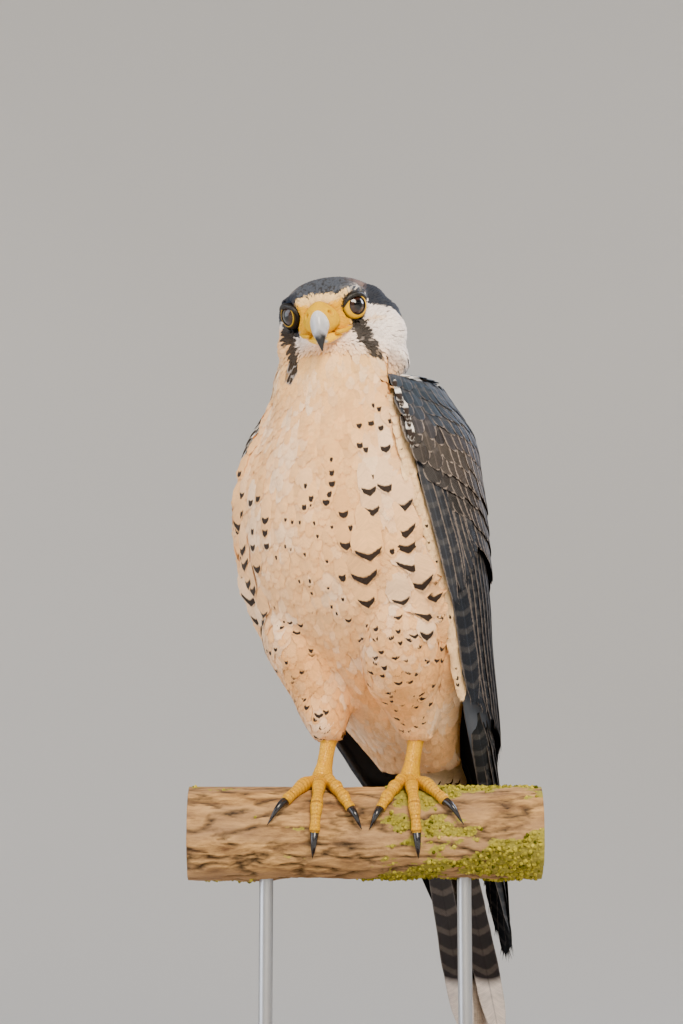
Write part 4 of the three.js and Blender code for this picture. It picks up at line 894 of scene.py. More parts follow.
def wingVanes(row, seed, stagger=0.0):
    # middle lines of one row of wing feathers over the wing's face, louvred so that each lies on the next
    draw = np.random.default_rng(seed)
    count = row["count"]
    u = np.linspace(0, 1, count) + stagger / count
    tips = np.asarray(row["tips"], float)
    ends = np.column_stack([np.interp(u, np.linspace(0, 1, len(tips)), tips[:, k]) for k in range(2)])
    ends = ends + np.column_stack([draw.normal(0, 0.8, count), draw.normal(0, 0.006, count)])
    starts = np.column_stack([np.full(count, row["root"][0]), np.interp(u, [0, 1], row["root"][1:])])
    starts[:, 0] += draw.normal(0, 0.8, count)
    style = flightStyle if starts[0, 0] - ends[0, 0] > 45 else covertStyle
    s = style["stations"]
    z = starts[:, :1] * (1 - s) + ends[:, :1] * s
    t = starts[:, 1:] * (1 - s) + ends[:, 1:] * s
    rise = np.where(s < 0.06, -0.5, row["lift"][0] + (row["lift"][1] - row["lift"][0]) * ramp(s, 0, 1))
    flatZ, flatT = z.ravel(), t.ravel()
    out = wingOut(flatZ, flatT)
    path = wingPoint(flatZ, flatT) + out * (np.tile(rise, count) - napAt(flatZ, flatT))[:, None]
    path, out = path.reshape(count, len(s), 3), out.reshape(count, len(s), 3)
    ahead = unit(np.gradient(path, axis=1))
    side = unit(np.cross(ahead, out))
    roll = math.radians(8)
    side = side * math.cos(roll) + out * math.sin(roll)
    out = np.cross(side, ahead)
    length = np.linalg.norm(np.diff(path, axis=1), axis=2).sum(1) / s[-1]
    half = row["half"] * draw.uniform(0.94, 1.06, count)
    vanes = makeVanes(path, side, out, half, length, style, seed + 1)
    tone = linear(row["tone"])[None] * (1 + 0.16 * draw.normal(0, 1, count))[:, None]
    rear = ramp(starts[:, 1], 0.4, 0.7)[:, None]
    tone = tone * (1 - 0.6 * rear) + linear("#2a343f")[None] * 0.6 * rear
    plain = np.column_stack([np.full(count, noMark), np.ones(count), np.full(count, row["edge"])])
    traits = {"ground": tone, "trait": plain, "size": np.column_stack([length, half, draw.random(count)])}
    corner = np.column_stack([0.04 + 0.92 * starts[:, 1], (starts[:, 0] + 100) / 345])
    return vanes, traits, corner


def joinVanes(parts):
    points, faces, vane, traits, bake, start = [], [[], []], [], {}, [], 0
    for vanes, trait, corner, size in parts:
        points.append(vanes["points"])
        faces[0].append(vanes["faces"][0] + start)
        faces[1].append(vanes["faces"][1] + start)
        vane.append(vanes["vane"])
        for label, values in trait.items():
            traits.setdefault(label, []).append(np.repeat(values, vanes["each"], axis=0))
        bake.append(np.repeat(corner, vanes["each"], axis=0) + vanes["vane"] * size)
        start += len(vanes["points"])
    return (np.concatenate(points), [np.concatenate(f) for f in faces],
            {"vane": np.concatenate(vane), "OFBake": np.concatenate(bake)},
            {label: np.concatenate(values) for label, values in traits.items()})


def wingLining():
    # closed slate layer under the feathers, so that no light passes between them
    z = np.array([224, 220, 213, 200, 180, 160, 140, 120, 100, 80, 58, 36, 15, 4], float)
    t = np.linspace(0.0, 1.0, 15)
    zz, tt = np.repeat(z, len(t)), np.tile(t, len(z))
    out = wingOut(zz, tt)
    face = wingPoint(zz, tt) - out * (napAt(zz, tt) + 0.2)[:, None]
    inner = face - out * (atHeight(wingDepth, zz)[:, 0] - 0.4)[:, None]
    face, inner = face.reshape(len(z), -1, 3), inner.reshape(len(z), -1, 3)
    return np.concatenate([face, inner[:, ::-1]], 1)


lining, tree = newMaterial("downUnderWing")  # slate down in the shade under the wing's feathers, quite matt
fluff = add(tree, "TexNoise", {"Scale": 700.0, "Detail": 3.0})
tint = add(tree, "Mix", {"Factor": fluff, "A": rgba("#383d45"), "B": rgba("#565c66")}, data_type="RGBA")
add(tree, "OutputMaterial", {"Surface": add(tree, "BsdfPrincipled", {
    "Base Color": tint.outputs["Result"], "Roughness": 0.9, "IOR": 1.5})})

for wing, sign, seed in (("left", 1, 100), ("right", -1, 400)):
    parts = []
    for number, row in enumerate(wingRows):
        vanes, traits, corner = wingVanes(row, seed + 10 * number, 0.5 * (number % 2))
        parts.append((vanes, traits, corner, tuftPatch if row["half"] < 5.6 else 0.02))
    points, faces, uvs, traits = joinVanes(parts)
    mirror = np.array([sign, 1, 1])
    shift = rightWing if sign < 0 else 0
    piece = addPiece("wingFeathers_" + wing, points * mirror + shift, faces, wingFeather, ["wing_" + wing],
                     "feathers_slate", uvs, traits)
    core, coreFaces = capped(wingLining())
    addPiece("wingLining_" + wing, core * mirror + shift, coreFaces, lining, slot="feathers_slate")
    print("wing", wing, len(piece.data.polygons), "faces")

# Small pale feathers along the wing's leading edge and over its shoulder, black and white at the bend
edgeStyle = {"stations": [0, 0.25, 0.5, 0.72, 0.86], "shape": [0.5, 0.95, 1.0, 0.85, 0.6], "columns": 9,
             "camber": 0.3, "ragged": 0.1, "bow": 0.45, "lines": (-0.012, 0.004, 0.024), "step": 3.0,
             "shoulder": {"count": 46, "height": 229.0, "from": 0.1, "to": 0.66, "loose": 0.58},
             "cream": "#f3cd99", "white": "#f3ece2", "slate": "#5a6675"}
for wing, sign, seed in (("left", 1, 700), ("right", -1, 720)):
    draw = np.random.default_rng(seed)
    column = np.arange(226, 60 if sign > 0 else 196, -edgeStyle["step"])
    lines, shoulder = edgeStyle["lines"], edgeStyle["shoulder"]
    z0 = np.concatenate([column] * len(lines) + [np.full(shoulder["count"], shoulder["height"])])
    t0 = np.concatenate([np.repeat(lines, len(column)),
                         np.linspace(shoulder["from"], shoulder["to"], shoulder["count"])])
    t0 = t0 + draw.normal(0, 0.004, len(z0))
    z0 = z0 + draw.normal(0, 0.7, len(z0))
    z0 = z0 - 1.7 * (np.arange(len(z0)) // len(column) % 2)
    keep = (t0 < 0.02) | ((z0 > 192) & (z0 < 222)) | ((z0 > 228) & (t0 > 0.08))
    z0, t0 = z0[keep], t0[keep]
    over = t0 > 0.08
    length = draw.uniform(11, 14, len(z0)) * np.where(over & (t0 < shoulder["loose"]), 0.45, 1.0)
    s = np.array(edgeStyle["stations"])
    z = (z0[:, None] - length[:, None] * s).ravel()
    t = (t0[:, None] - 0.012 * s).ravel()
    out = wingOut(z, t)
    bend = (t0 > 0.012) & ~over & (z0 > 190)
    rise = (-0.3 + 1.7 * ramp(s, 0, 0.8))[None] + np.clip(t0, 0, 0.08)[:, None] * 16
    rise = rise + np.where(over, 6.9, np.where(bend, 7.4, 0))[:, None]
    path = wingPoint(z, t) + out * (rise.ravel() - napAt(z, t))[:, None]
    path, out = path.reshape(len(z0), len(s), 3), out.reshape(len(z0), len(s), 3)
    side = unit(np.cross(unit(np.gradient(path, axis=1)), out))
    half = draw.uniform(2.0, 2.7, len(z0)) + 0.5 * over - 0.6 * bend
    vanes = makeVanes(path, side, out, half, length, edgeStyle, seed + 1)
    pale = np.where((bend | over)[:, None], linear(edgeStyle["white"]), linear(edgeStyle["cream"]))
    pale = mixed(pale, linear(edgeStyle["slate"]), ramp(t0, 0.18, 0.24) * (t0 < shoulder["loose"]))
    spot = np.where(bend, 2.3, np.where(draw.random(len(z0)) < 0.08, 1.2, noMark))
    spot = np.where(over, noMark, spot)
    traits = {"ground": pale * draw.uniform(0.9, 1.06, len(z0))[:, None],
              "trait": np.column_stack([spot, np.where(bend, 3.2, 1.2), t0 * 0]),
              "size": np.column_stack([length, half, draw.random(len(z0))])}
    vanes["points"] = vanes["points"] * np.array([sign, 1, 1]) + (rightWing if sign < 0 else 0)
    corner = np.column_stack([0.04 + 0.92 * np.clip(t0, 0, 1), (z0 + 100) / 345])
    dressed("wingEdge_" + wing, vanes, traits, (corner, tuftPatch), bodyFeather, slot="feathers_pale")
print("wings made")

# Tail

tail = {"pairs": 6, "width": 22, "level": 1.2, "start": 8.0, "colour": "#211e1d", "edge": 0.25,
        "whiteEnd": 32, "white": "#f3e9dc"}
tailBack = np.array([0, -tailWay[2], tailWay[1]])
rump = {"length": 54, "half": [18.2, 17.2, 15, 12], "above": [2.2, 2.3, 2.1, 2], "below": [31, 21, 9.5, 4],
        "topColour": "#4b5664", "underColour": "#e6cba4", "skinColour": "#e2c59c",
        "lift": [-0.4, 0.8, 1.4, 1.9, 2.2, 2.4]}
tailFeather = featherMaterial("tailFeatherKeratin", {
    "rise": 0.21, "wander": 1.6, "barStep": 12.5, "bars": 0.4, "barStart": 37.0, "barColour": "#6a6056", "fringe": 0.9,
    "fringeColour": "#8f8880", "markColour": "#15171b", "barbTone": 0.06, "cloud": 0.1, "shaft": 0.7,
    "shaftTone": -0.3, "relief": 0.5, "roughness": 0.55, "gloss": 0.35, "sheen": 0.04, "sheenColour": "#cfd8e6",
    "strands": 0.7})
tailLength = np.linalg.norm(tailTip - tailRoot)
tailStyle = {"columns": 17, "camber": 0.05, "ragged": 0.02, "bow": 0.35}
tailStyle["stations"] = np.concatenate([np.linspace(0, 0.92, 26), [0.95, 0.975]])
tailStyle["shape"] = np.interp(tailStyle["stations"], [0, 0.35, 0.72, 0.9, 0.975], [0.5, 0.82, 1.0, 0.9, 0.62])
parts = []
for pair in range(tail["pairs"]):
    share = pair / (tail["pairs"] - 1)
    for side in (1, -1):
        width = tail["width"] if pair == 0 else tail["width"] * (0.62 + 0.22 * share)
        level = ((side + 1) / 2 if pair == 0 else -pair) * tail["level"] + 1
        reach = tailLength - 3.5 * share ** 2
        s = tailStyle["stations"]
        half = width / 2
        x = side * (0.4 if pair == 0 else half * 0.9 + 0.2 + s * 2.5 * share)
        path = (tailRoot + tailWay * (tail["start"] + (reach - tail["start"]) * s)[:, None] + tailBack * level
                + leftward * np.broadcast_to(x, s.shape)[:, None])[None]
        across = np.tile([side, 0, 0], (1, len(s), 1)).astype(float)
        out = np.cross(across, unit(np.gradient(path, axis=1)))
        out = out * np.sign((out @ tailBack)[..., None])
        length = reach - tail["start"]
        seed = 800 + pair * 2 + side
        vanes = makeVanes(path, across, out, np.array([half]), np.array([length]), tailStyle, seed)
        traits = {"ground": linear(tail["colour"])[None], "trait": np.array([[noMark, 1.0, tail["edge"]]]),
                  "size": np.array([[length, half, 0.5]])}
        slotAt = np.array([[0.02 + 0.16 * pair, 0.05 if side > 0 else 0.55]])
        parts.append((vanes, traits, slotAt, np.array([0.12, 0.4])))
points, faces, uvs, traits = joinVanes(parts)
addPiece("tailFeathers", points, faces, tailFeather, ["tail"], "feathers_slate", uvs, traits)

# White ends: the ground colour is painted on the points of the last 32 mm, a little further at the vanes' edges
tailMesh = bpy.data.objects["tailFeathers"].data
fromEnd = (1 - uvs["vane"][:, 1]) * traits["size"][:, 0]
border = tail["whiteEnd"] + 2.2 * np.abs(uvs["vane"][:, 0] - 0.5) * 2
white = ramp(border - fromEnd, -1.0, 1.0)
painted = mixed(traits["ground"], linear(tail["white"]), white)
tailMesh.attributes["ground"].data.foreach_set("vector", painted.astype(np.float32).ravel())


def rumpGrid():
    u = np.linspace(0, 1, 16)
    a = np.linspace(0, 2 * math.pi, 32, endpoint=False)
    half, above, below = (along(np.array(rump[k])[:, None], u)[:, 0] for k in ("half", "above", "below"))
    centre = tailRoot + tailWay * (u * rump["length"])[:, None]
    rise = np.cos(a)[None] * np.where(np.cos(a)[None] > 0, above[:, None], below[:, None]) - 0.6
    return (centre[:, None] + leftward * (np.sin(a)[None] * (half[:, None] - 0.8))[..., None]
            + tailBack * rise[..., None])


points, faces = capped(rumpGrid())
onTop = ((points - tailRoot) @ tailBack > 0)[:, None]
addPiece("tailRoot", points, faces, skinMaterial, slot="feathers_pale",
         traits={"ground": np.where(onTop, linear(rump["topColour"]), linear(rump["skinColour"]))})
draw = np.random.default_rng(900)
roots, tops = [], []
for face, rows, spread in ((1, 7, 6), (-1, 9, 9)):
    for r in range(rows):
        for i in range(spread):
            a = ((i + 0.5 + 0.5 * (r % 2)) / spread - 0.5) * 2.6 + draw.normal(0, 0.05)
            roots.append((-0.12 + 0.9 * r / rows + draw.normal(0, 0.01), math.sin(a), math.cos(a) * face))
            tops.append(face > 0)
roots, tops = np.array(roots), np.array(tops)
s = np.array(bodyStyle["stations"])
length = np.where(tops, 22.0, 20.0) * draw.uniform(0.9, 1.1, len(roots))
v = roots[:, :1] + s[None] * length[:, None] / rump["length"]
half, above, below = (np.interp(v, np.linspace(0, 1, 4), rump[k]) for k in ("half", "above", "below"))
wide = half * roots[:, 1:2]
tall = np.where(roots[:, 2:] > 0, above, below) * roots[:, 2:]
base = tailRoot + tailWay * (v * rump["length"])[..., None] + leftward * wide[..., None] + tailBack * tall[..., None]
out = unit(leftward * (roots[:, 1:2] / half)[..., None]
           + tailBack * (roots[:, 2:] / np.where(roots[:, 2:] > 0, above, below))[..., None])
path = base + out * np.array(rump["lift"])[None, :, None]
ahead = unit(np.gradient(path, axis=1))
side = unit(np.cross(ahead, out))
out = np.cross(side, ahead)
halfWide = np.where(tops, 5.4, 5.0) * np.ones(len(roots))
vanes = makeVanes(path, side, out, halfWide, length, bodyStyle, 901)
tones = np.where(tops[:, None], linear(rump["topColour"]), linear(rump["underColour"]))
tones = tones * draw.uniform(0.92, 1.06, (len(roots), 1))
marked = np.column_stack([np.where(tops, 4.0, 3.6), np.full(len(roots), 0.9), np.where(tops, 0.5, 0)])
traits = {"ground": tones, "trait": marked,
          "size": np.column_stack([length, halfWide, draw.random(len(roots))])}
corner = np.column_stack([0.1 + 0.8 * (roots[:, 1] + 1) / 2, np.where(tops, 0.55, 0.05) + 0.4 * (roots[:, 0] + 0.15)])
dressed("tailCoverts", vanes, traits, (corner, tuftPatch), bodyFeather, slot="feathers_slate")
print("tail made")

# Eyes


def headPiece(name, points, faces, material, **extra):
    return addPiece(name, fromHead(points), faces, material, **extra)


eyeWet, tree = newMaterial("wetEye")  # a wet cornea over a brown-black iris: a hard, bright highlight
aim = add(tree, "Attribute", attribute_name="aim")
turn = add(tree, "SeparateXYZ", {0: aim.outputs["Vector"]})
pupil = add(tree, "MapRange", {"Value": turn.outputs["X"], "From Min": 0.30, "From Max": 0.36})
spokes = add(tree, "TexNoise", {"Vector": aim.outputs["Vector"], "Scale": 9.0, "Detail": 4.0})
iris = add(tree, "Mix", {"Factor": spokes, "A": rgba("#1a0d07"), "B": rgba("#3a1f10")}, data_type="RGBA")
tint = add(tree, "Mix", {"Factor": pupil, "A": rgba("#020202"), "B": iris.outputs["Result"]}, data_type="RGBA")
add(tree, "OutputMaterial", {"Surface": add(tree, "BsdfPrincipled", {
    "Base Color": tint.outputs["Result"], "Roughness": 0.12, "IOR": 1.376, "Coat Weight": 1.0,
    "Coat Roughness": 0.015, "Coat IOR": 1.376})})

ringSkin, tree = newMaterial("bareWaxySkin")  # bare skin, waxy and finely wrinkled: soft highlights, warm depth
place = add(tree, "TexCoord").outputs["Object"]
pores = add(tree, "TexVoronoi", {"Vector": place, "Scale": 1 / 0.0011}, feature="F1")
folds = add(tree, "TexNoise", {"Vector": place, "Scale": 1 / 0.003, "Detail": 4.0})
tint = add(tree, "Mix", {"Factor": folds, "A": rgba("#c89200"), "B": rgba("#eebc00")}, data_type="RGBA")
# the shade attribute darkens the ring to near black: painted shade under the brow and along the outer rim, and over
# most of the right eye's ring
shade = add(tree, "SeparateXYZ", {0: add(tree, "Attribute", attribute_name="shade").outputs["Vector"]})
tint = add(tree, "Mix", {"Factor": shade.outputs["X"], "A": tint.outputs["Result"], "B": rgba("#15100c")},
           data_type="RGBA")
bump = add(tree, "Bump", {"Height": pores, "Strength": 0.35, "Distance": 0.0003})
bump = add(tree, "Bump", {"Height": folds, "Strength": 0.5, "Distance": 0.0006, "Normal": bump})
add(tree, "OutputMaterial", {"Surface": add(tree, "BsdfPrincipled", {
    "Base Color": tint.outputs["Result"], "Normal": bump, "Roughness": 0.5, "IOR": 1.45, "Specular IOR Level": 0.2,
    "Subsurface Weight": 0.06, "Subsurface Radius": (0.004, 0.002, 0.0008), "Subsurface Scale": 0.5})})

# near black: the lid's own dark edge, and on the upper lid also painted shadow cast by the brow
lidSkinAndShade, tree = newMaterial("darkLidSkinAndBrowShade")  # the lid's edge, dark and damp
add(tree, "OutputMaterial", {"Surface": add(tree, "BsdfPrincipled", {
    "Base Color": rgba("#16130f"), "Roughness": 0.4, "IOR": 1.45,
    "Normal": add(tree, "Bump", {"Height": add(tree, "TexNoise", {"Scale": 1500.0}), "Strength": 0.4,
                                 "Distance": 0.0002})})})

# profiles of the bare ring and of the lid's edge: radius, place along the eye's axis, stretch towards the bill
lids = {"columns": 72,
        "ring": [[5.2, 6.75, 0.0], [5.4, 7.3, 0.0], [5.8, 7.4, 0.1], [6.2, 7.1, 0.3], [6.9, 6.5, 0.6], [7.5, 5.7, 0.9],
                 [7.8, 4.6, 1.0], [7.6, 3.4, 1.0]],
        "edge": [[4.95, 6.7, 0.0], [5.07, 7.15, 0.0], [5.3, 7.4, 0.0], [5.5, 7.45, 0.0], [5.6, 7.3, 0.0]],
        # radii beyond which each eye's ring is darkened: painted shade
        "dark": {"left": (7.2, 7.75), "right": (5.6, 6.3)}}
ahead = unit(np.cross(eyeBall["out"], upward))  # towards the bill
ahead = ahead * np.sign(-ahead[1])
rise = np.cross(eyeBall["out"], ahead)
rise = rise * np.sign(rise[2])


def eyeRing(profile, rim):
    # rings of points round the eye's axis, flatter above by `rim`
    a = np.linspace(0, 2 * math.pi, lids["columns"], endpoint=False)
    rows = []
    for radius, depth, stretch in profile:
        r = radius + stretch * np.maximum(0, np.cos(a)) ** 2
        flat = 1 - rim * np.maximum(0, np.sin(a)) ** 2
        rows.append(eyeBall["at"] + eyeBall["out"] * depth + ahead * (np.cos(a) * r)[:, None]
                    + rise * (np.sin(a) * r * flat)[:, None])
    return np.array(rows)


for eye, sign in (("left", 1), ("right", -1)):
    mirror = np.array([sign, 1, 1])
    a = np.linspace(0, 2 * math.pi, 64, endpoint=False)
    polar = np.concatenate([np.linspace(0.001, 0.9, 30), np.linspace(0.95, math.pi, 14)])
    bulge = 1 + 0.07 * np.exp(-(polar / 0.36) ** 2)  # the cornea stands a little proud of the ball
    ball = (eyeBall["at"] + eyeBall["radius"] * bulge[:, None, None] * (
        np.cos(polar)[:, None, None] * eyeBall["out"]
        + np.sin(polar)[:, None, None] * (np.cos(a)[None, :, None] * ahead + np.sin(a)[None, :, None] * rise)))
    points, faces = capped(ball)
    aims = [np.repeat(np.sin(polar), 64), np.tile(np.cos(a), len(polar)), np.tile(np.sin(a), len(polar))]
    aims = np.concatenate([np.column_stack(aims), np.zeros((2, 3))])
    headPiece("eyeBall_" + eye, points * mirror, faces, eyeWet, replaces=["eye_" + eye], slot="eye",
              traits={"aim": aims})
    ring = eyeRing(lids["ring"], 0.06)
    radii = np.array(lids["ring"])[:, :1]
    around = np.linspace(0, 2 * math.pi, lids["columns"], endpoint=False)[None]
    # painted shade: the ring's top darkened under the brow, and its outer part beyond the radii given for each eye
    dark = np.maximum(ramp(radii, 6.3, 7.0) * ramp(np.sin(around - 0.15), 0.05, 0.4), ramp(radii, *lids["dark"][eye]))
    dark = dark.ravel()
    headPiece("eyeRing_" + eye, ring.reshape(-1, 3) * mirror, [gridFaces(len(ring), lids["columns"], True)], ringSkin,
              slot="bare_skin", traits={"shade": np.column_stack([dark, dark, dark])})
    edge = eyeRing(lids["edge"], 0.03)
    headPiece("lidEdge_" + eye, edge.reshape(-1, 3) * mirror, [gridFaces(len(edge), lids["columns"], True)], lidSkinAndShade,
              slot="bare_skin")
    # the upper lid over the ring's top: partly the lid's dark edge, partly painted shadow under the brow
    arc = np.linspace(0.1, math.pi - 0.1, 40)
    lidLine = (eyeBall["at"] + eyeBall["out"] * 5.0 + ahead * (np.cos(arc) * 8.1)[:, None]
               + rise * (np.sin(arc) * 6.2)[:, None] + eyeBall["out"] * (np.sin(arc) * 2.2)[:, None])
    tube = tubeGrid(lidLine, 1.6 * np.sin(np.linspace(0.12, math.pi - 0.12, 40)) ** 0.6, 12, eyeBall["out"], 0.9)
    points, faces = capped(tube)
    headPiece("upperLid_" + eye, points * mirror, faces, lidSkinAndShade, slot="bare_skin")
print("eyes made")

# Bill

faceY = -25.6
beak = {
    "culmen": [[-32.6, 7.9], [-37.4, 5.0], [-40.9, 0.1], [-42.6, -6.4], [-41.9, -14.6]],
    "edge": [[-31.4, -6.6], [-34.4, -7.4], [-37, -8.4], [-39.2, -9.6], [-41.2, -14.2]],
    "half": [5.7, 5.0, 4.1, 2.5, 0.4],
    "cereTop": [[faceY - 0.3, 10.8], [-29.6, 10.3], [-33.9, 7.9]],
    "cereEdge": [[faceY - 0.3, -7.8], [-29.4, -7.8], [-33.2, -6.6]],
    "cereHalf": [10.2, 8.6, 6.0],
    "jawTop": [[faceY - 0.3, -7.6], [-30.4, -6.6], [-35.6, -8.4], [-38.0, -10.0]],
    "jawUnder": [[faceY - 0.3, -12.8], [-29.8, -13.0], [-34.2, -12.6], [-37.6, -11.0]],
    "jawHalf": [10.0, 8.2, 4.6, 1.2]}


def beakGrid(upper, lower, half, steps, sides, tooth=0.0, narrow=0.18):
    u = np.linspace(0, 1, steps + 1)
    top, bottom = along(upper, u), along(lower, u)
    wide = along(np.array(half)[:, None], u)
    a = np.linspace(0, 2 * math.pi, sides, endpoint=False)[None]
    down = 0.5 - 0.5 * np.cos(a)
    notch = tooth * (np.exp(-((u - 0.6) / 0.09) ** 2) - 0.8 * np.exp(-((u - 0.78) / 0.06) ** 2))[:, None]
    x = np.sin(a) * wide * (1 - narrow * np.cos(a))
    y = top[:, :1] * (1 - down) + bottom[:, :1] * down
    z = top[:, 1:] * (1 - down) + bottom[:, 1:] * down - notch * np.exp(-((down - 0.9) / 0.12) ** 2)
    return np.stack([x, y, z], -1)


hornBill, tree = newMaterial("polishedBillHorn")  # layered keratin, worn smooth: blue-grey, black towards the tip
grow = add(tree, "SeparateXYZ", {0: add(tree, "Attribute", attribute_name="growth").outputs["Vector"]})
place = add(tree, "TexCoord").outputs["Object"]
streaks = add(tree, "TexNoise", {"Vector": place, "Scale": 1 / 0.004, "Detail": 4.0})
wobble = add(tree, "Math", {0: streaks.outputs["Fac"], 1: 0.22}, operation="MULTIPLY")
reach = add(tree, "Math", {0: grow.outputs["X"], 1: wobble}, operation="ADD")
black = add(tree, "MapRange", {"Value": reach, "From Min": 0.7, "From Max": 0.86})
base = add(tree, "MapRange", {"Value": reach, "From Min": 0.1, "From Max": 0.55})
tint = add(tree, "Mix", {"Factor": base, "A": rgba("#e6e4e2"), "B": rgba("#b3b4b8")}, data_type="RGBA")
tint = add(tree, "Mix", {"Factor": black, "A": tint.outputs["Result"], "B": rgba("#101216")}, data_type="RGBA")
tint = add(tree, "Mix", {"Factor": grow.outputs["Y"], "A": tint.outputs["Result"], "B": rgba("#f2bd00")},
           data_type="RGBA")
bump = add(tree, "Bump", {"Height": streaks, "Strength": 0.12, "Distance": 0.0003})
add(tree, "OutputMaterial", {"Surface": add(tree, "BsdfPrincipled", {
    "Base Color": tint.outputs["Result"], "Normal": bump, "Roughness": 0.28, "IOR": 1.55})})

grid = beakGrid(beak["culmen"], beak["edge"], beak["half"], 44, 48, tooth=1.0)
points, faces = capped(grid)
growth = np.concatenate([np.repeat(np.linspace(0, 1, 45), 48), [0, 1]])
headPiece("billUpper", points, faces, hornBill, replaces=["bill_upper"], slot="horn",
          traits={"growth": np.column_stack([growth, growth * 0, growth])})
grid = beakGrid(beak["jawTop"], beak["jawUnder"], beak["jawHalf"], 30, 40)
points, faces = capped(grid)
growth = np.concatenate([np.repeat(np.linspace(0, 0.7, 31), 40), [0, 0.7]])
headPiece("billLower", points, faces, hornBill, replaces=["bill_lower"], slot="horn",
          traits={"growth": np.column_stack([growth, 1 - ramp(growth, 0.5, 0.6), growth])})
grid = beakGrid(beak["cereTop"], beak["cereEdge"], beak["cereHalf"], 44, 160, narrow=0.32)
flesh = grid.reshape(-1, 3)
middle = flesh.mean(0)
swell = 0.15 * np.sin(np.repeat(np.linspace(0, 1, 45), 160) * math.pi)
flesh = flesh + unit(flesh - middle) * swell[:, None]
for sign in (1, -1):  # round nostrils, each with a small pip in it
    at = np.array([sign * 7.4, -30.6, 4.4])
    apart = np.linalg.norm((flesh - at) * np.array([0.5, 1, 1]), axis=1)
    sink = 2.4 * ramp(1.6 - apart, 0, 0.5) - 1.6 * ramp(0.7 - apart, 0, 0.4)
    sink = sink - 0.35 * np.exp(-((apart - 2.1) / 0.45) ** 2)
    flesh = flesh - np.array([sign, -0.35, 0.3]) / 1.1 * sink[:, None]
points, faces = capped(flesh.reshape(45, 160, 3))
headPiece("cereWax", points, faces, ringSkin, replaces=["cere"], slot="bare_skin")
for side, sign in (("left", 1), ("right", -1)):  # fleshy corner of the mouth, back to under the eye
    line = along([[8.2, -31.5, -7.4], [10.6, -27, -8.0], [12.9, -22, -8.5], [15.6, -16.4, -7.6]], np.linspace(0, 1, 24))
    tube = tubeGrid(line, 1.5 * np.sin(np.linspace(0.5, math.pi - 0.15, 24)) ** 0.5, 12, [0, 0, 1], 0.9)
    points, faces = capped(tube)
    headPiece("gape_" + side, points * np.array([sign, 1, 1]), faces, ringSkin, slot="bare_skin")
print("bill made")

# Legs and feet

perch = {"radius": 26.0, "length": 200.0, "yaw": math.radians(32), "taper": 2.4}
across = np.array([math.cos(perch["yaw"]), math.sin(perch["yaw"]), 0])
forward = np.array([math.sin(perch["yaw"]), -math.cos(perch["yaw"]), 0])
toeRadius, legSpread, scuteStep, shankPlate = 4.1, 25.0, 2.3, 2.6
toeRings, toeSides = 60, 28
toes = [
    {"name": "inner", "aim": 30, "length": 36, "claw": 17, "joints": 2},
    {"name": "middle", "aim": 0, "length": 50, "claw": 15, "joints": 3},
    {"name": "outer", "aim": -30, "length": 39, "claw": 13, "joints": 4},
    {"name": "hind", "aim": 176, "length": 25, "claw": 19, "joints": 1}]


def toePoint(side, toe, reach, lift):
    aim = -side * math.radians(toe["aim"] + 4)
    r = perch["radius"] + lift
    bend = math.cos(aim) * reach / (perch["radius"] + toeRadius)
    return (across * side * legSpread + across * (-math.sin(aim) * reach)[:, None]
            + forward * (np.sin(bend) * r)[:, None] + upward * (np.cos(bend) * r - perch["radius"])[:, None])


scalySkin, tree = newMaterial("scalyFootSkin")  # yellow scaled skin, dry and slightly waxy, darker in the creases
place = add(tree, "TexCoord").outputs["Object"]
scales = add(tree, "TexVoronoi", {"Vector": place, "Scale": 1 / 0.0013}, feature="DISTANCE_TO_EDGE")
crease = add(tree, "MapRange", {"Value": scales, "From Min": 0.0, "From Max": 0.12})
patchy = add(tree, "TexNoise", {"Vector": place, "Scale": 1 / 0.006, "Detail": 4.0})
tint = add(tree, "Mix", {"Factor": patchy, "A": rgba("#d79a00"), "B": rgba("#f2bc08")}, data_type="RGBA")
# darker between the scales and in the folds between the scutes: painted shade
tint = add(tree, "Mix", {"Factor": crease, "A": rgba("#c98a16"), "B": tint.outputs["Result"]}, data_type="RGBA")
groove = add(tree, "SeparateXYZ", {0: add(tree, "Attribute", attribute_name="crease").outputs["Vector"]})
tint = add(tree, "Mix", {"Factor": groove.outputs["X"], "A": tint.outputs["Result"], "B": rgba("#8a5a10")},
           data_type="RGBA")
bump = add(tree, "Bump", {"Height": crease, "Strength": 0.7, "Distance": 0.0004})
add(tree, "OutputMaterial", {"Surface": add(tree, "BsdfPrincipled", {
    "Base Color": tint.outputs["Result"], "Normal": bump, "Roughness": 0.45, "IOR": 1.45,
    "Subsurface Weight": 0.1, "Subsurface Radius": (0.004, 0.002, 0.0008), "Subsurface Scale": 0.5})})

blackClaw, tree = newMaterial("blackClawHorn")  # hard horn worn smooth: near black with a long highlight
place = add(tree, "TexCoord").outputs["Object"]
streaks = add(tree, "TexNoise", {"Vector": place, "Scale": 1 / 0.002, "Detail": 3.0})
tint = add(tree, "Mix", {"Factor": streaks, "A": rgba("#0c0d10"), "B": rgba("#2a2a2e")}, data_type="RGBA")
add(tree, "OutputMaterial", {"Surface": add(tree, "BsdfPrincipled", {
    "Base Color": tint.outputs["Result"], "Roughness": 0.25, "IOR": 1.55,
    "Normal": add(tree, "Bump", {"Height": streaks, "Strength": 0.1, "Distance": 0.0002})})})

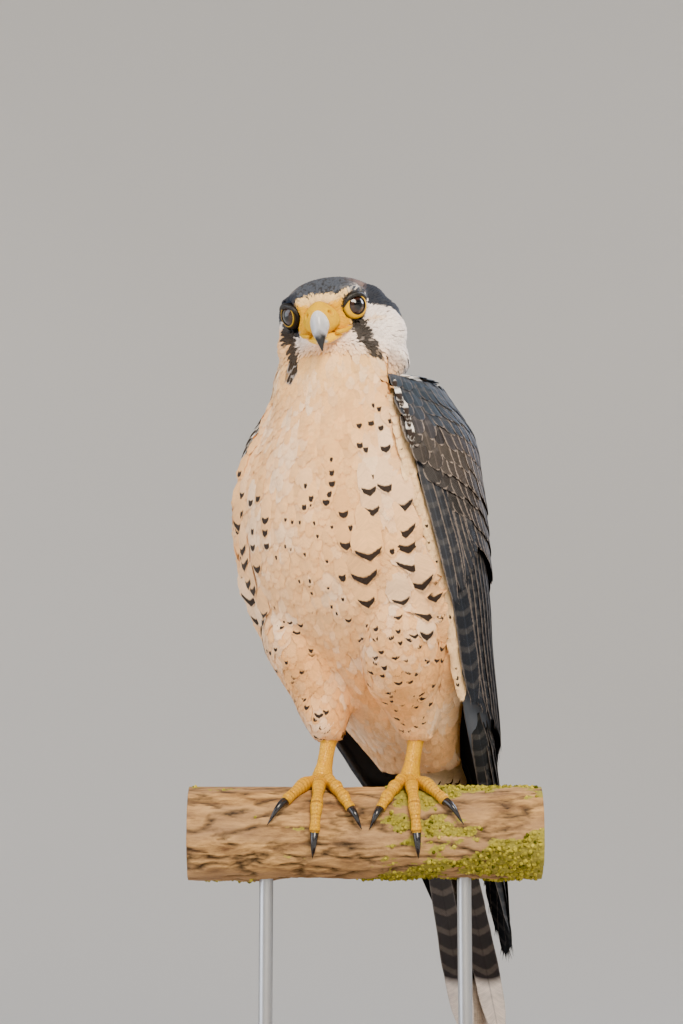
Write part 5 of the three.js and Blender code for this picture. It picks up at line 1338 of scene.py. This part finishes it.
for foot, side in (("left", 1), ("right", -1)):
    grids, creases = [], []
    for toe in toes:
        u = np.linspace(0, 1, toeRings)
        pad = 0.5 + 0.5 * np.cos(u * toe["joints"] * 2 * math.pi)
        blunt = np.sqrt(np.clip(1 - (np.maximum(0, u - 0.94) / 0.062) ** 2, 0.02, 1))
        radius = toeRadius * (1.05 - 0.27 * u) * (0.86 + 0.2 * pad)
        line = toePoint(side, toe, u * toe["length"], radius * 0.82)
        grid = tubeGrid(line, radius * blunt, toeSides, across)
        away = unit(grid - line[:, None])
        centre = (line @ across)[:, None] * across + upward * -perch["radius"]
        outward = unit(line - centre)
        top = np.clip((away * outward[:, None]).sum(-1), 0, 1)
        scute = np.abs(np.sin(u * toe["length"] / scuteStep * math.pi))[:, None] ** 0.45
        # the folds between the scutes, where the colour is darkened with painted shade
        creases.append(1 - scute)
        scute = scute * blunt[:, None]
        grid = grid + away * (0.75 * scute * top ** 1.2 - 0.3 * blunt[:, None])[..., None]
        grid = grid - outward[:, None] * (0.35 * np.clip(-(away * outward[:, None]).sum(-1), 0, 1))[..., None]
        grids.append(grid)
        v = np.linspace(0, 1, 40)
        arch = 2.6 + 3.4 * np.sin(np.minimum(1, v * 1.25) * math.pi * 0.8) - 2.9 * v ** 2
        clawLine = toePoint(side, toe, toe["length"] - 0.9 + v * (toe["claw"] + 1.2), arch)
        clawGrid = tubeGrid(clawLine, np.maximum(0.22, toeRadius * 0.62 * (1 - v) ** 0.75), 20, across)
        points, faces = capped(clawGrid)
        name = "claw_" + toe["name"] + "_" + foot
        addPiece("horn_" + name, points, faces, blackClaw, [name], "claw_horn")
    heights = np.linspace(2, 31, 48)
    swell = np.interp(heights, [2, 6, 12, 19, 25, 31], [1.35, 1.3, 0.98, 0.92, 0.98, 1.05])
    shankLine = across * side * legSpread + np.column_stack([heights * 0, heights * 0.3, heights])
    shank = tubeGrid(shankLine, swell * 4.3, 32, [0, 1, 0], 5.2 / 4.3)
    away = unit(shank - shankLine[:, None])
    plates = np.abs(np.sin(heights / shankPlate * math.pi))[:, None] ** 0.45
    shank = shank + away * (0.35 * plates * np.clip(-away[..., 1], 0, 1))[..., None]
    grids.append(shank)
    u = np.linspace(0.02, math.pi - 0.02, 20)
    ballLine = across * side * legSpread + np.array([0, 1.26, 4.2]) + upward * (np.cos(u) * 5.2)[:, None]
    grids.append(tubeGrid(ballLine, 6.5 * np.sin(u), 28, [0, 1, 0]))
    allPoints, quads, fans, depths, start = [], [], [], [], 0
    for number, grid in enumerate(grids):
        points, faces = capped(grid)
        depth = np.zeros((len(points), 3))
        if number < len(toes):
            depth[:grid.shape[0] * toeSides] = np.repeat(creases[number], toeSides, axis=0)
        allPoints.append(points)
        quads.append(faces[0] + start)
        fans.append(faces[1] + start)
        depths.append(depth)
        start += len(points)
    addPiece("scaly_foot_" + foot, np.concatenate(allPoints), [np.concatenate(quads), np.concatenate(fans)], scalySkin,
             ["foot_" + foot, "shank_" + foot], "bare_skin", traits={"crease": np.concatenate(depths)})
print("feet made")

# Branch

barkMoss, tree = newMaterial("mossyBark")  # weathered bark, dry and cracked, worn pale on its ridges; moss in patches
place = add(tree, "TexCoord").outputs["Object"]
turnedPlace = add(tree, "Mapping", {"Vector": place, "Rotation": (0.0, 0.0, -perch["yaw"])})
stretched = add(tree, "Mapping", {"Vector": turnedPlace, "Scale": (0.22, 1.0, 1.0)})
ridge = add(tree, "TexNoise", {"Vector": stretched, "Scale": 210.0, "Detail": 8.0, "Roughness": 0.68})
fine = add(tree, "TexNoise", {"Vector": place, "Scale": 700.0, "Detail": 5.0, "Roughness": 0.65})
plates = add(tree, "TexNoise", {"Vector": stretched, "Scale": 60.0, "Detail": 4.0})
ends = add(tree, "SeparateXYZ", {0: add(tree, "Attribute", attribute_name="cut").outputs["Vector"]})
deep = add(tree, "SeparateXYZ", {0: add(tree, "Attribute", attribute_name="deep").outputs["Vector"]})
bark = add(tree, "ValToRGB", {0: ridge})
bark.color_ramp.elements[0].position, bark.color_ramp.elements[1].position = 0.34, 0.66
bark.color_ramp.elements[0].color, bark.color_ramp.elements[1].color = rgba("#5c3a1c"), rgba("#d3a566")
patch = add(tree, "MapRange", {"Value": plates, "From Min": 0.4, "From Max": 0.62, "To Min": 0.0, "To Max": 0.7})
tint = add(tree, "Mix", {"Factor": patch, "A": bark.outputs["Color"], "B": rgba("#a5835e")}, data_type="RGBA")
# darker in the cracks: painted shade
tint = add(tree, "Mix", {"Factor": deep.outputs["X"], "A": tint.outputs["Result"], "B": rgba("#26170c")},
           data_type="RGBA")
mossNoise = add(tree, "Math", {0: add(tree, "Math", {0: fine, 1: -0.5}, operation="ADD"), 1: 2.0}, operation="MULTIPLY")
moss = add(tree, "Math", {0: ends.outputs["Y"], 1: mossNoise}, operation="ADD")
moss = add(tree, "MapRange", {"Value": moss, "From Min": 0.35, "From Max": 0.6})
mossTint = add(tree, "Mix", {"Factor": fine, "A": rgba("#3c3c0c"), "B": rgba("#c2b544")}, data_type="RGBA")
tint = add(tree, "Mix", {"Factor": moss, "A": tint.outputs["Result"], "B": mossTint.outputs["Result"]},
           data_type="RGBA")
ringNoise = add(tree, "Math", {0: ridge, 1: 0.0016}, operation="MULTIPLY")
ringAt = add(tree, "Math", {0: ends.outputs["Z"], 1: ringNoise}, operation="ADD")
rings = add(tree, "Math", {0: ringAt, 1: 2 * math.pi / 0.0017}, operation="MULTIPLY")  # rings 1.7 mm apart
rings = add(tree, "Math", {0: rings}, operation="SINE")
ringShare = add(tree, "MapRange", {"Value": rings, "From Min": -1.0, "From Max": 1.0, "To Min": 0.25, "To Max": 0.75})
sawn = add(tree, "Mix", {"Factor": ringShare, "A": rgba("#b48a55"), "B": rgba("#e0bd88")}, data_type="RGBA")
tint = add(tree, "Mix", {"Factor": ends.outputs["X"], "A": tint.outputs["Result"], "B": sawn.outputs["Result"]},
           data_type="RGBA")
bump = add(tree, "Bump", {"Height": ridge, "Strength": 0.9, "Distance": 0.0012})
bump = add(tree, "Bump", {"Height": fine, "Strength": 0.6, "Distance": 0.0006, "Normal": bump})
add(tree, "OutputMaterial", {"Surface": add(tree, "BsdfPrincipled", {
    "Base Color": tint.outputs["Result"], "Normal": bump, "Roughness": 0.85, "IOR": 1.5})})


steps, sides = 330, 240
u = np.linspace(0, 1, steps)
a = np.linspace(0, 2 * math.pi, sides, endpoint=False)
centre = across * ((u - 0.5) * perch["length"])[:, None] + upward * -perch["radius"]
aim = forward * np.cos(a)[:, None] + upward * np.sin(a)[:, None]
settleTop = 0.5 - 0.5 * np.sin(a)[None]
taper = np.maximum(0, u - 0.5)[:, None] * perch["taper"]
log = np.stack(np.broadcast_arrays(u[:, None] * perch["length"], np.cos(a) * perch["radius"],
                                   np.sin(a) * perch["radius"]), -1).reshape(-1, 3)
cracks = [noise.ridged_multi_fractal(Vector(p), 0.9, 2.1, 5, 1.0, 1.8) for p in log * np.array([0.035, 0.13, 0.13])]
swells = [noise.fractal(Vector(p), 0.8, 2.0, 4) for p in log * np.array([0.03, 0.05, 0.05]) + np.array([7, 0, 0])]
crust = [noise.fractal(Vector(p), 0.7, 2.2, 5) for p in log * np.array([0.02, 0.045, 0.045]) + np.array([31, 0, 0])]
cracks, swells, crust = (np.array(values).reshape(steps, sides) for values in (cracks, swells, crust))
cracks = np.clip((cracks - 1.15) * 1.4, 0, 1.6)
relief = (1.5 * swells - 1.7 * cracks + 0.35) * np.clip(settleTop * 2.0 + 0.35, 0, 1)
relief = np.where(settleTop < 0.3, np.minimum(relief, 0.1), np.minimum(relief, 1.6))
grid = centre[:, None] + aim[None] * (perch["radius"] - taper * settleTop + relief)[..., None]
ringRadii = np.linspace(1, 0, 22)[1:-1]
first = centre[0] + (grid[0] - centre[0]) * ringRadii[::-1][:, None, None]
last = centre[-1] + (grid[-1] - centre[-1]) * ringRadii[:, None, None]
whole = np.concatenate([first, grid, last])
points, faces = capped(whole)
onCut = np.concatenate([np.ones(len(first)), np.zeros(steps), np.ones(len(last))])
radial = np.linalg.norm(np.cross(whole - (upward * -perch["radius"]), across), axis=-1) / 1000
mossiness = np.interp(u, [0, 0.35, 0.6, 1], [-0.75, -0.4, 0.1, 0.25])[:, None] + 1.1 * crust + 0.12 * np.sin(a + 2.4)
mossiness = ramp(mossiness, -0.05, 0.25)
ends = ((len(first), len(last)), (0, 0))  # bare sawn wood before and after the bark
cut = np.stack([np.repeat(onCut[:, None], sides, 1), np.pad(mossiness, ends), radial], -1).reshape(-1, 3)
# how deep each crack is, which darkens the bark's colour there: painted shade
deep = np.stack([np.pad(np.clip(cracks, 0, 1), ends)] * 3, -1).reshape(-1, 3)
addPiece("barkBranch", points, faces, barkMoss, ["perch_branch"], "bark", traits={
    "cut": np.concatenate([cut, [[1, 0, 0], [1, 0, 0]]]), "deep": np.concatenate([deep, np.zeros((2, 3))])})

mossTufts, tree = newMaterial("mossTufts")  # cushions of moss, quite matt, each grain its own green to yellow
grain = add(tree, "SeparateXYZ", {0: add(tree, "Attribute", attribute_name="grain").outputs["Vector"]})
fuzz = add(tree, "TexNoise", {"Scale": 2200.0, "Detail": 2.0})
tint = add(tree, "ValToRGB", {0: grain.outputs["X"]})
tint.color_ramp.elements[0].color, tint.color_ramp.elements[1].color = rgba("#4f5412"), rgba("#d8c84e")
add(tree, "OutputMaterial", {"Surface": add(tree, "BsdfPrincipled", {
    "Base Color": tint.outputs["Color"], "Roughness": 0.95, "IOR": 1.45, "Specular IOR Level": 0.15,
    "Normal": add(tree, "Bump", {"Height": fuzz, "Strength": 0.8, "Distance": 0.0004})})})
draw = np.random.default_rng(77)
chance = (mossiness ** 2).ravel() * (np.repeat(np.abs(u - 0.5)[:, None] < 0.49, sides, 1)).ravel()
chosen = draw.choice(len(chance), 2600, replace=False, p=chance / chance.sum())
spots = grid.reshape(-1, 3)[chosen]
aims = np.tile(aim, (steps, 1))[chosen]
footAt = [toePoint(side, toe, np.linspace(-2, toe["length"] + 8, 12), 4.0) for side in (1, -1) for toe in toes]
footAt = np.concatenate(footAt)
apart = np.linalg.norm(spots[:, None] - footAt[None], axis=2).min(1) > 7.0
spots, aims = spots[apart], aims[apart]
polar, around = np.linspace(0.25, math.pi - 0.25, 5), np.linspace(0, 2 * math.pi, 8, endpoint=False)
ball = np.stack([np.sin(polar)[:, None] * np.cos(around), np.sin(polar)[:, None] * np.sin(around),
                 np.repeat(np.cos(polar)[:, None], 8, 1)], -1)
ballPoints, ballFaces = capped(ball)
size = draw.uniform(0.5, 1.35, len(spots)) * draw.uniform(0.7, 1.0, len(spots))
lumpy = 1 + draw.uniform(-0.22, 0.22, (len(spots), len(ballPoints), 1))
tufts = (spots + aims * (size * 0.25)[:, None])[:, None] + ballPoints[None] * lumpy * size[:, None, None]
starts = (np.arange(len(spots)) * len(ballPoints))[:, None, None]
grains = np.repeat(np.clip(draw.normal(0.5, 0.25, len(spots)), 0, 1), len(ballPoints))
faces = [(f[None] + starts).reshape(-1, f.shape[1]) for f in ballFaces]
addPiece("mossOnBranch", tufts.reshape(-1, 3), faces, mossTufts, slot="bark",
         traits={"grain": np.column_stack([grains] * 3)})
print("branch made")

# Stand

oiledWood, tree = newMaterial("oiledWalnut")  # turned hardwood under oil: fine long grain and a satin shine
place = add(tree, "TexCoord").outputs["Object"]
stretch = add(tree, "Mapping", {"Vector": place, "Scale": (1.0, 9.0, 9.0)})
grain = add(tree, "TexNoise", {"Vector": stretch, "Scale": 22.0, "Detail": 9.0, "Roughness": 0.6, "Distortion": 0.6})
pore = add(tree, "Mapping", {"Vector": place, "Scale": (60.0, 1400.0, 1400.0)})
pores = add(tree, "TexNoise", {"Vector": pore, "Scale": 1.0, "Detail": 2.0})
tint = add(tree, "ValToRGB", {0: grain})
tint.color_ramp.elements[0].position, tint.color_ramp.elements[1].position = 0.3, 0.72
tint.color_ramp.elements[0].color, tint.color_ramp.elements[1].color = rgba("#4a2c17"), rgba("#96693c")
dark = add(tree, "MapRange", {"Value": pores, "From Min": 0.3, "From Max": 0.45, "To Min": 0.6, "To Max": 1.0})
colour = add(tree, "VectorMath", {0: tint.outputs["Color"], "Scale": dark}, operation="SCALE")
rough = add(tree, "MapRange", {"Value": grain, "From Min": 0.3, "From Max": 0.7, "To Min": 0.36, "To Max": 0.5})
bump = add(tree, "Bump", {"Height": pores, "Strength": 0.15, "Distance": 0.0002})
add(tree, "OutputMaterial", {"Surface": add(tree, "BsdfPrincipled", {
    "Base Color": colour, "Normal": bump, "Roughness": rough, "IOR": 1.5})})

stand = {"radius": 125.0, "height": 18.0, "bevel": 3.0, "rod": 4.0, "spacing": 112.0, "rodSunk": 9, "rodInBranch": 12}
b, r, h = stand["bevel"], stand["radius"], stand["height"]
arcs = np.linspace(0, math.pi / 2, 8)
outline = [[0.01, 0], [r - 30, 0], [r - 1.2, 0], [r - 0.3, 0.4], [r, 1.2], [r, h / 2]]
outline += [[r - b + b * math.cos(t), h - b + b * math.sin(t)] for t in arcs] + [[r - 20, h], [0.01, h]]
outline = np.array(outline)
a = np.linspace(0, 2 * math.pi, 160, endpoint=False)
grid = np.stack([outline[:, :1] * np.cos(a), outline[:, :1] * np.sin(a), np.repeat(outline[:, 1:], 160, 1)], -1)
points, faces = capped(grid - birdPlace)
addPiece("turnedBase", points, faces, oiledWood, ["stand_base"], "base_wood")

brushedSteel, tree = newMaterial("brushedSteel")  # drawn and brushed rod: fine rings round it blur the highlight
place = add(tree, "TexCoord").outputs["Object"]
lines = add(tree, "TexNoise", {"Vector": add(tree, "Mapping", {"Vector": place, "Scale": (300.0, 300.0, 5000.0)}),
                               "Scale": 1.0, "Detail": 2.0})
rough = add(tree, "MapRange", {"Value": lines, "To Min": 0.24, "To Max": 0.42})
bump = add(tree, "Bump", {"Height": lines, "Strength": 0.15, "Distance": 0.0001})
add(tree, "OutputMaterial", {"Surface": add(tree, "BsdfPrincipled", {
    "Base Color": rgba("#b9bbbd"), "Metallic": 1.0, "Roughness": rough, "Normal": bump})})
for rod, side in (("left", 1), ("right", -1)):
    middle = across * side * stand["spacing"] / 2
    foot, top = h - birdPlace[2] - stand["rodSunk"], stand["rodInBranch"] - 2 * perch["radius"]
    line = np.column_stack([np.full(24, middle[0]), np.full(24, middle[1]), np.linspace(foot, top, 24)])
    points, faces = capped(tubeGrid(line, stand["rod"], 48, [0, 1, 0]))
    addPiece("steelRod_" + rod, points, faces, brushedSteel, ["stand_rod_" + rod], "rod_steel")
print("stand made")

# Floor, light and camera

floorPaint, tree = newMaterial("paleStudioFloor")  # matt painted board
speck = add(tree, "TexNoise", {"Scale": 3.0, "Detail": 2.0})
tint = add(tree, "Mix", {"Factor": speck, "A": rgba("#dedcd8"), "B": rgba("#e3e1dd")}, data_type="RGBA")
add(tree, "OutputMaterial", {"Surface": add(tree, "BsdfPrincipled", {
    "Base Color": tint.outputs["Result"], "Roughness": 0.9})})
bend = np.linspace(0, math.pi / 2, 20)  # a round floor that turns up into a low wall, the same from every side
line = np.array([[0.01, 0.0], [1.0, 0.0], *zip(1.9 + 1.3 * np.sin(bend), 1.3 - 1.3 * np.cos(bend)), [3.2, 2.3]])
a = np.linspace(0, 2 * math.pi, 96, endpoint=False)
bowl = np.stack([line[:, :1] * np.cos(a), line[:, :1] * np.sin(a), np.repeat(line[:, 1:], 96, 1)], -1)
floorMesh = bpy.data.meshes.new("studioFloor")
floorMesh.from_pydata([tuple(p) for p in bowl.reshape(-1, 3)], [], [tuple(f) for f in gridFaces(len(line), 96, True)])
floorMesh.materials.append(floorPaint)
floorMesh.polygons.foreach_set("use_smooth", np.ones(len(floorMesh.polygons), bool))
floor = bpy.data.objects.new("studioFloor", floorMesh)
bpy.context.scene.collection.objects.link(floor)

camera = bpy.data.objects.new("camera", bpy.data.cameras.new("camera"))
bpy.context.scene.collection.objects.link(camera)
camera.location = photoView["eye"]
camera.rotation_mode = "QUATERNION"
camera.rotation_quaternion = (Vector(photoView["middle"]) - Vector(photoView["eye"])).to_track_quat("-Z", "Y")
camera.data.lens = photoView["lens"]
camera.data.sensor_width = 36
bpy.context.scene.camera = camera

lights = [
    {"name": "key", "at": (1.3, -1.3, 1.5), "size": 0.9, "power": 128, "colour": "#fff0dc"},
    {"name": "fill", "at": (-1.4, -1.5, 0.7), "size": 1.6, "power": 50, "colour": "#e9f0ff"},
    {"name": "rim", "at": (0.6, 1.4, 1.4), "size": 0.8, "power": 48, "colour": "#dfe9ff"}]
for light in lights:
    lamp = bpy.data.lights.new(light["name"], "AREA")
    lamp.size, lamp.energy, lamp.color = light["size"], light["power"], linear(light["colour"])
    holder = bpy.data.objects.new(light["name"], lamp)
    holder.location = light["at"]
    holder.rotation_mode = "QUATERNION"
    holder.rotation_quaternion = (Vector((0, -0.02, 0.33)) - holder.location).to_track_quat("-Z", "Y")
    bpy.context.scene.collection.objects.link(holder)
bpy.context.scene.view_settings.look = "AgX - Punchy"
world = bpy.data.worlds.new("studio")
bpy.context.scene.world = world
world.use_nodes = True
world.node_tree.nodes["Background"].inputs["Color"].default_value = rgba("#dfe3e8")
world.node_tree.nodes["Background"].inputs["Strength"].default_value = 0.7

print("done")
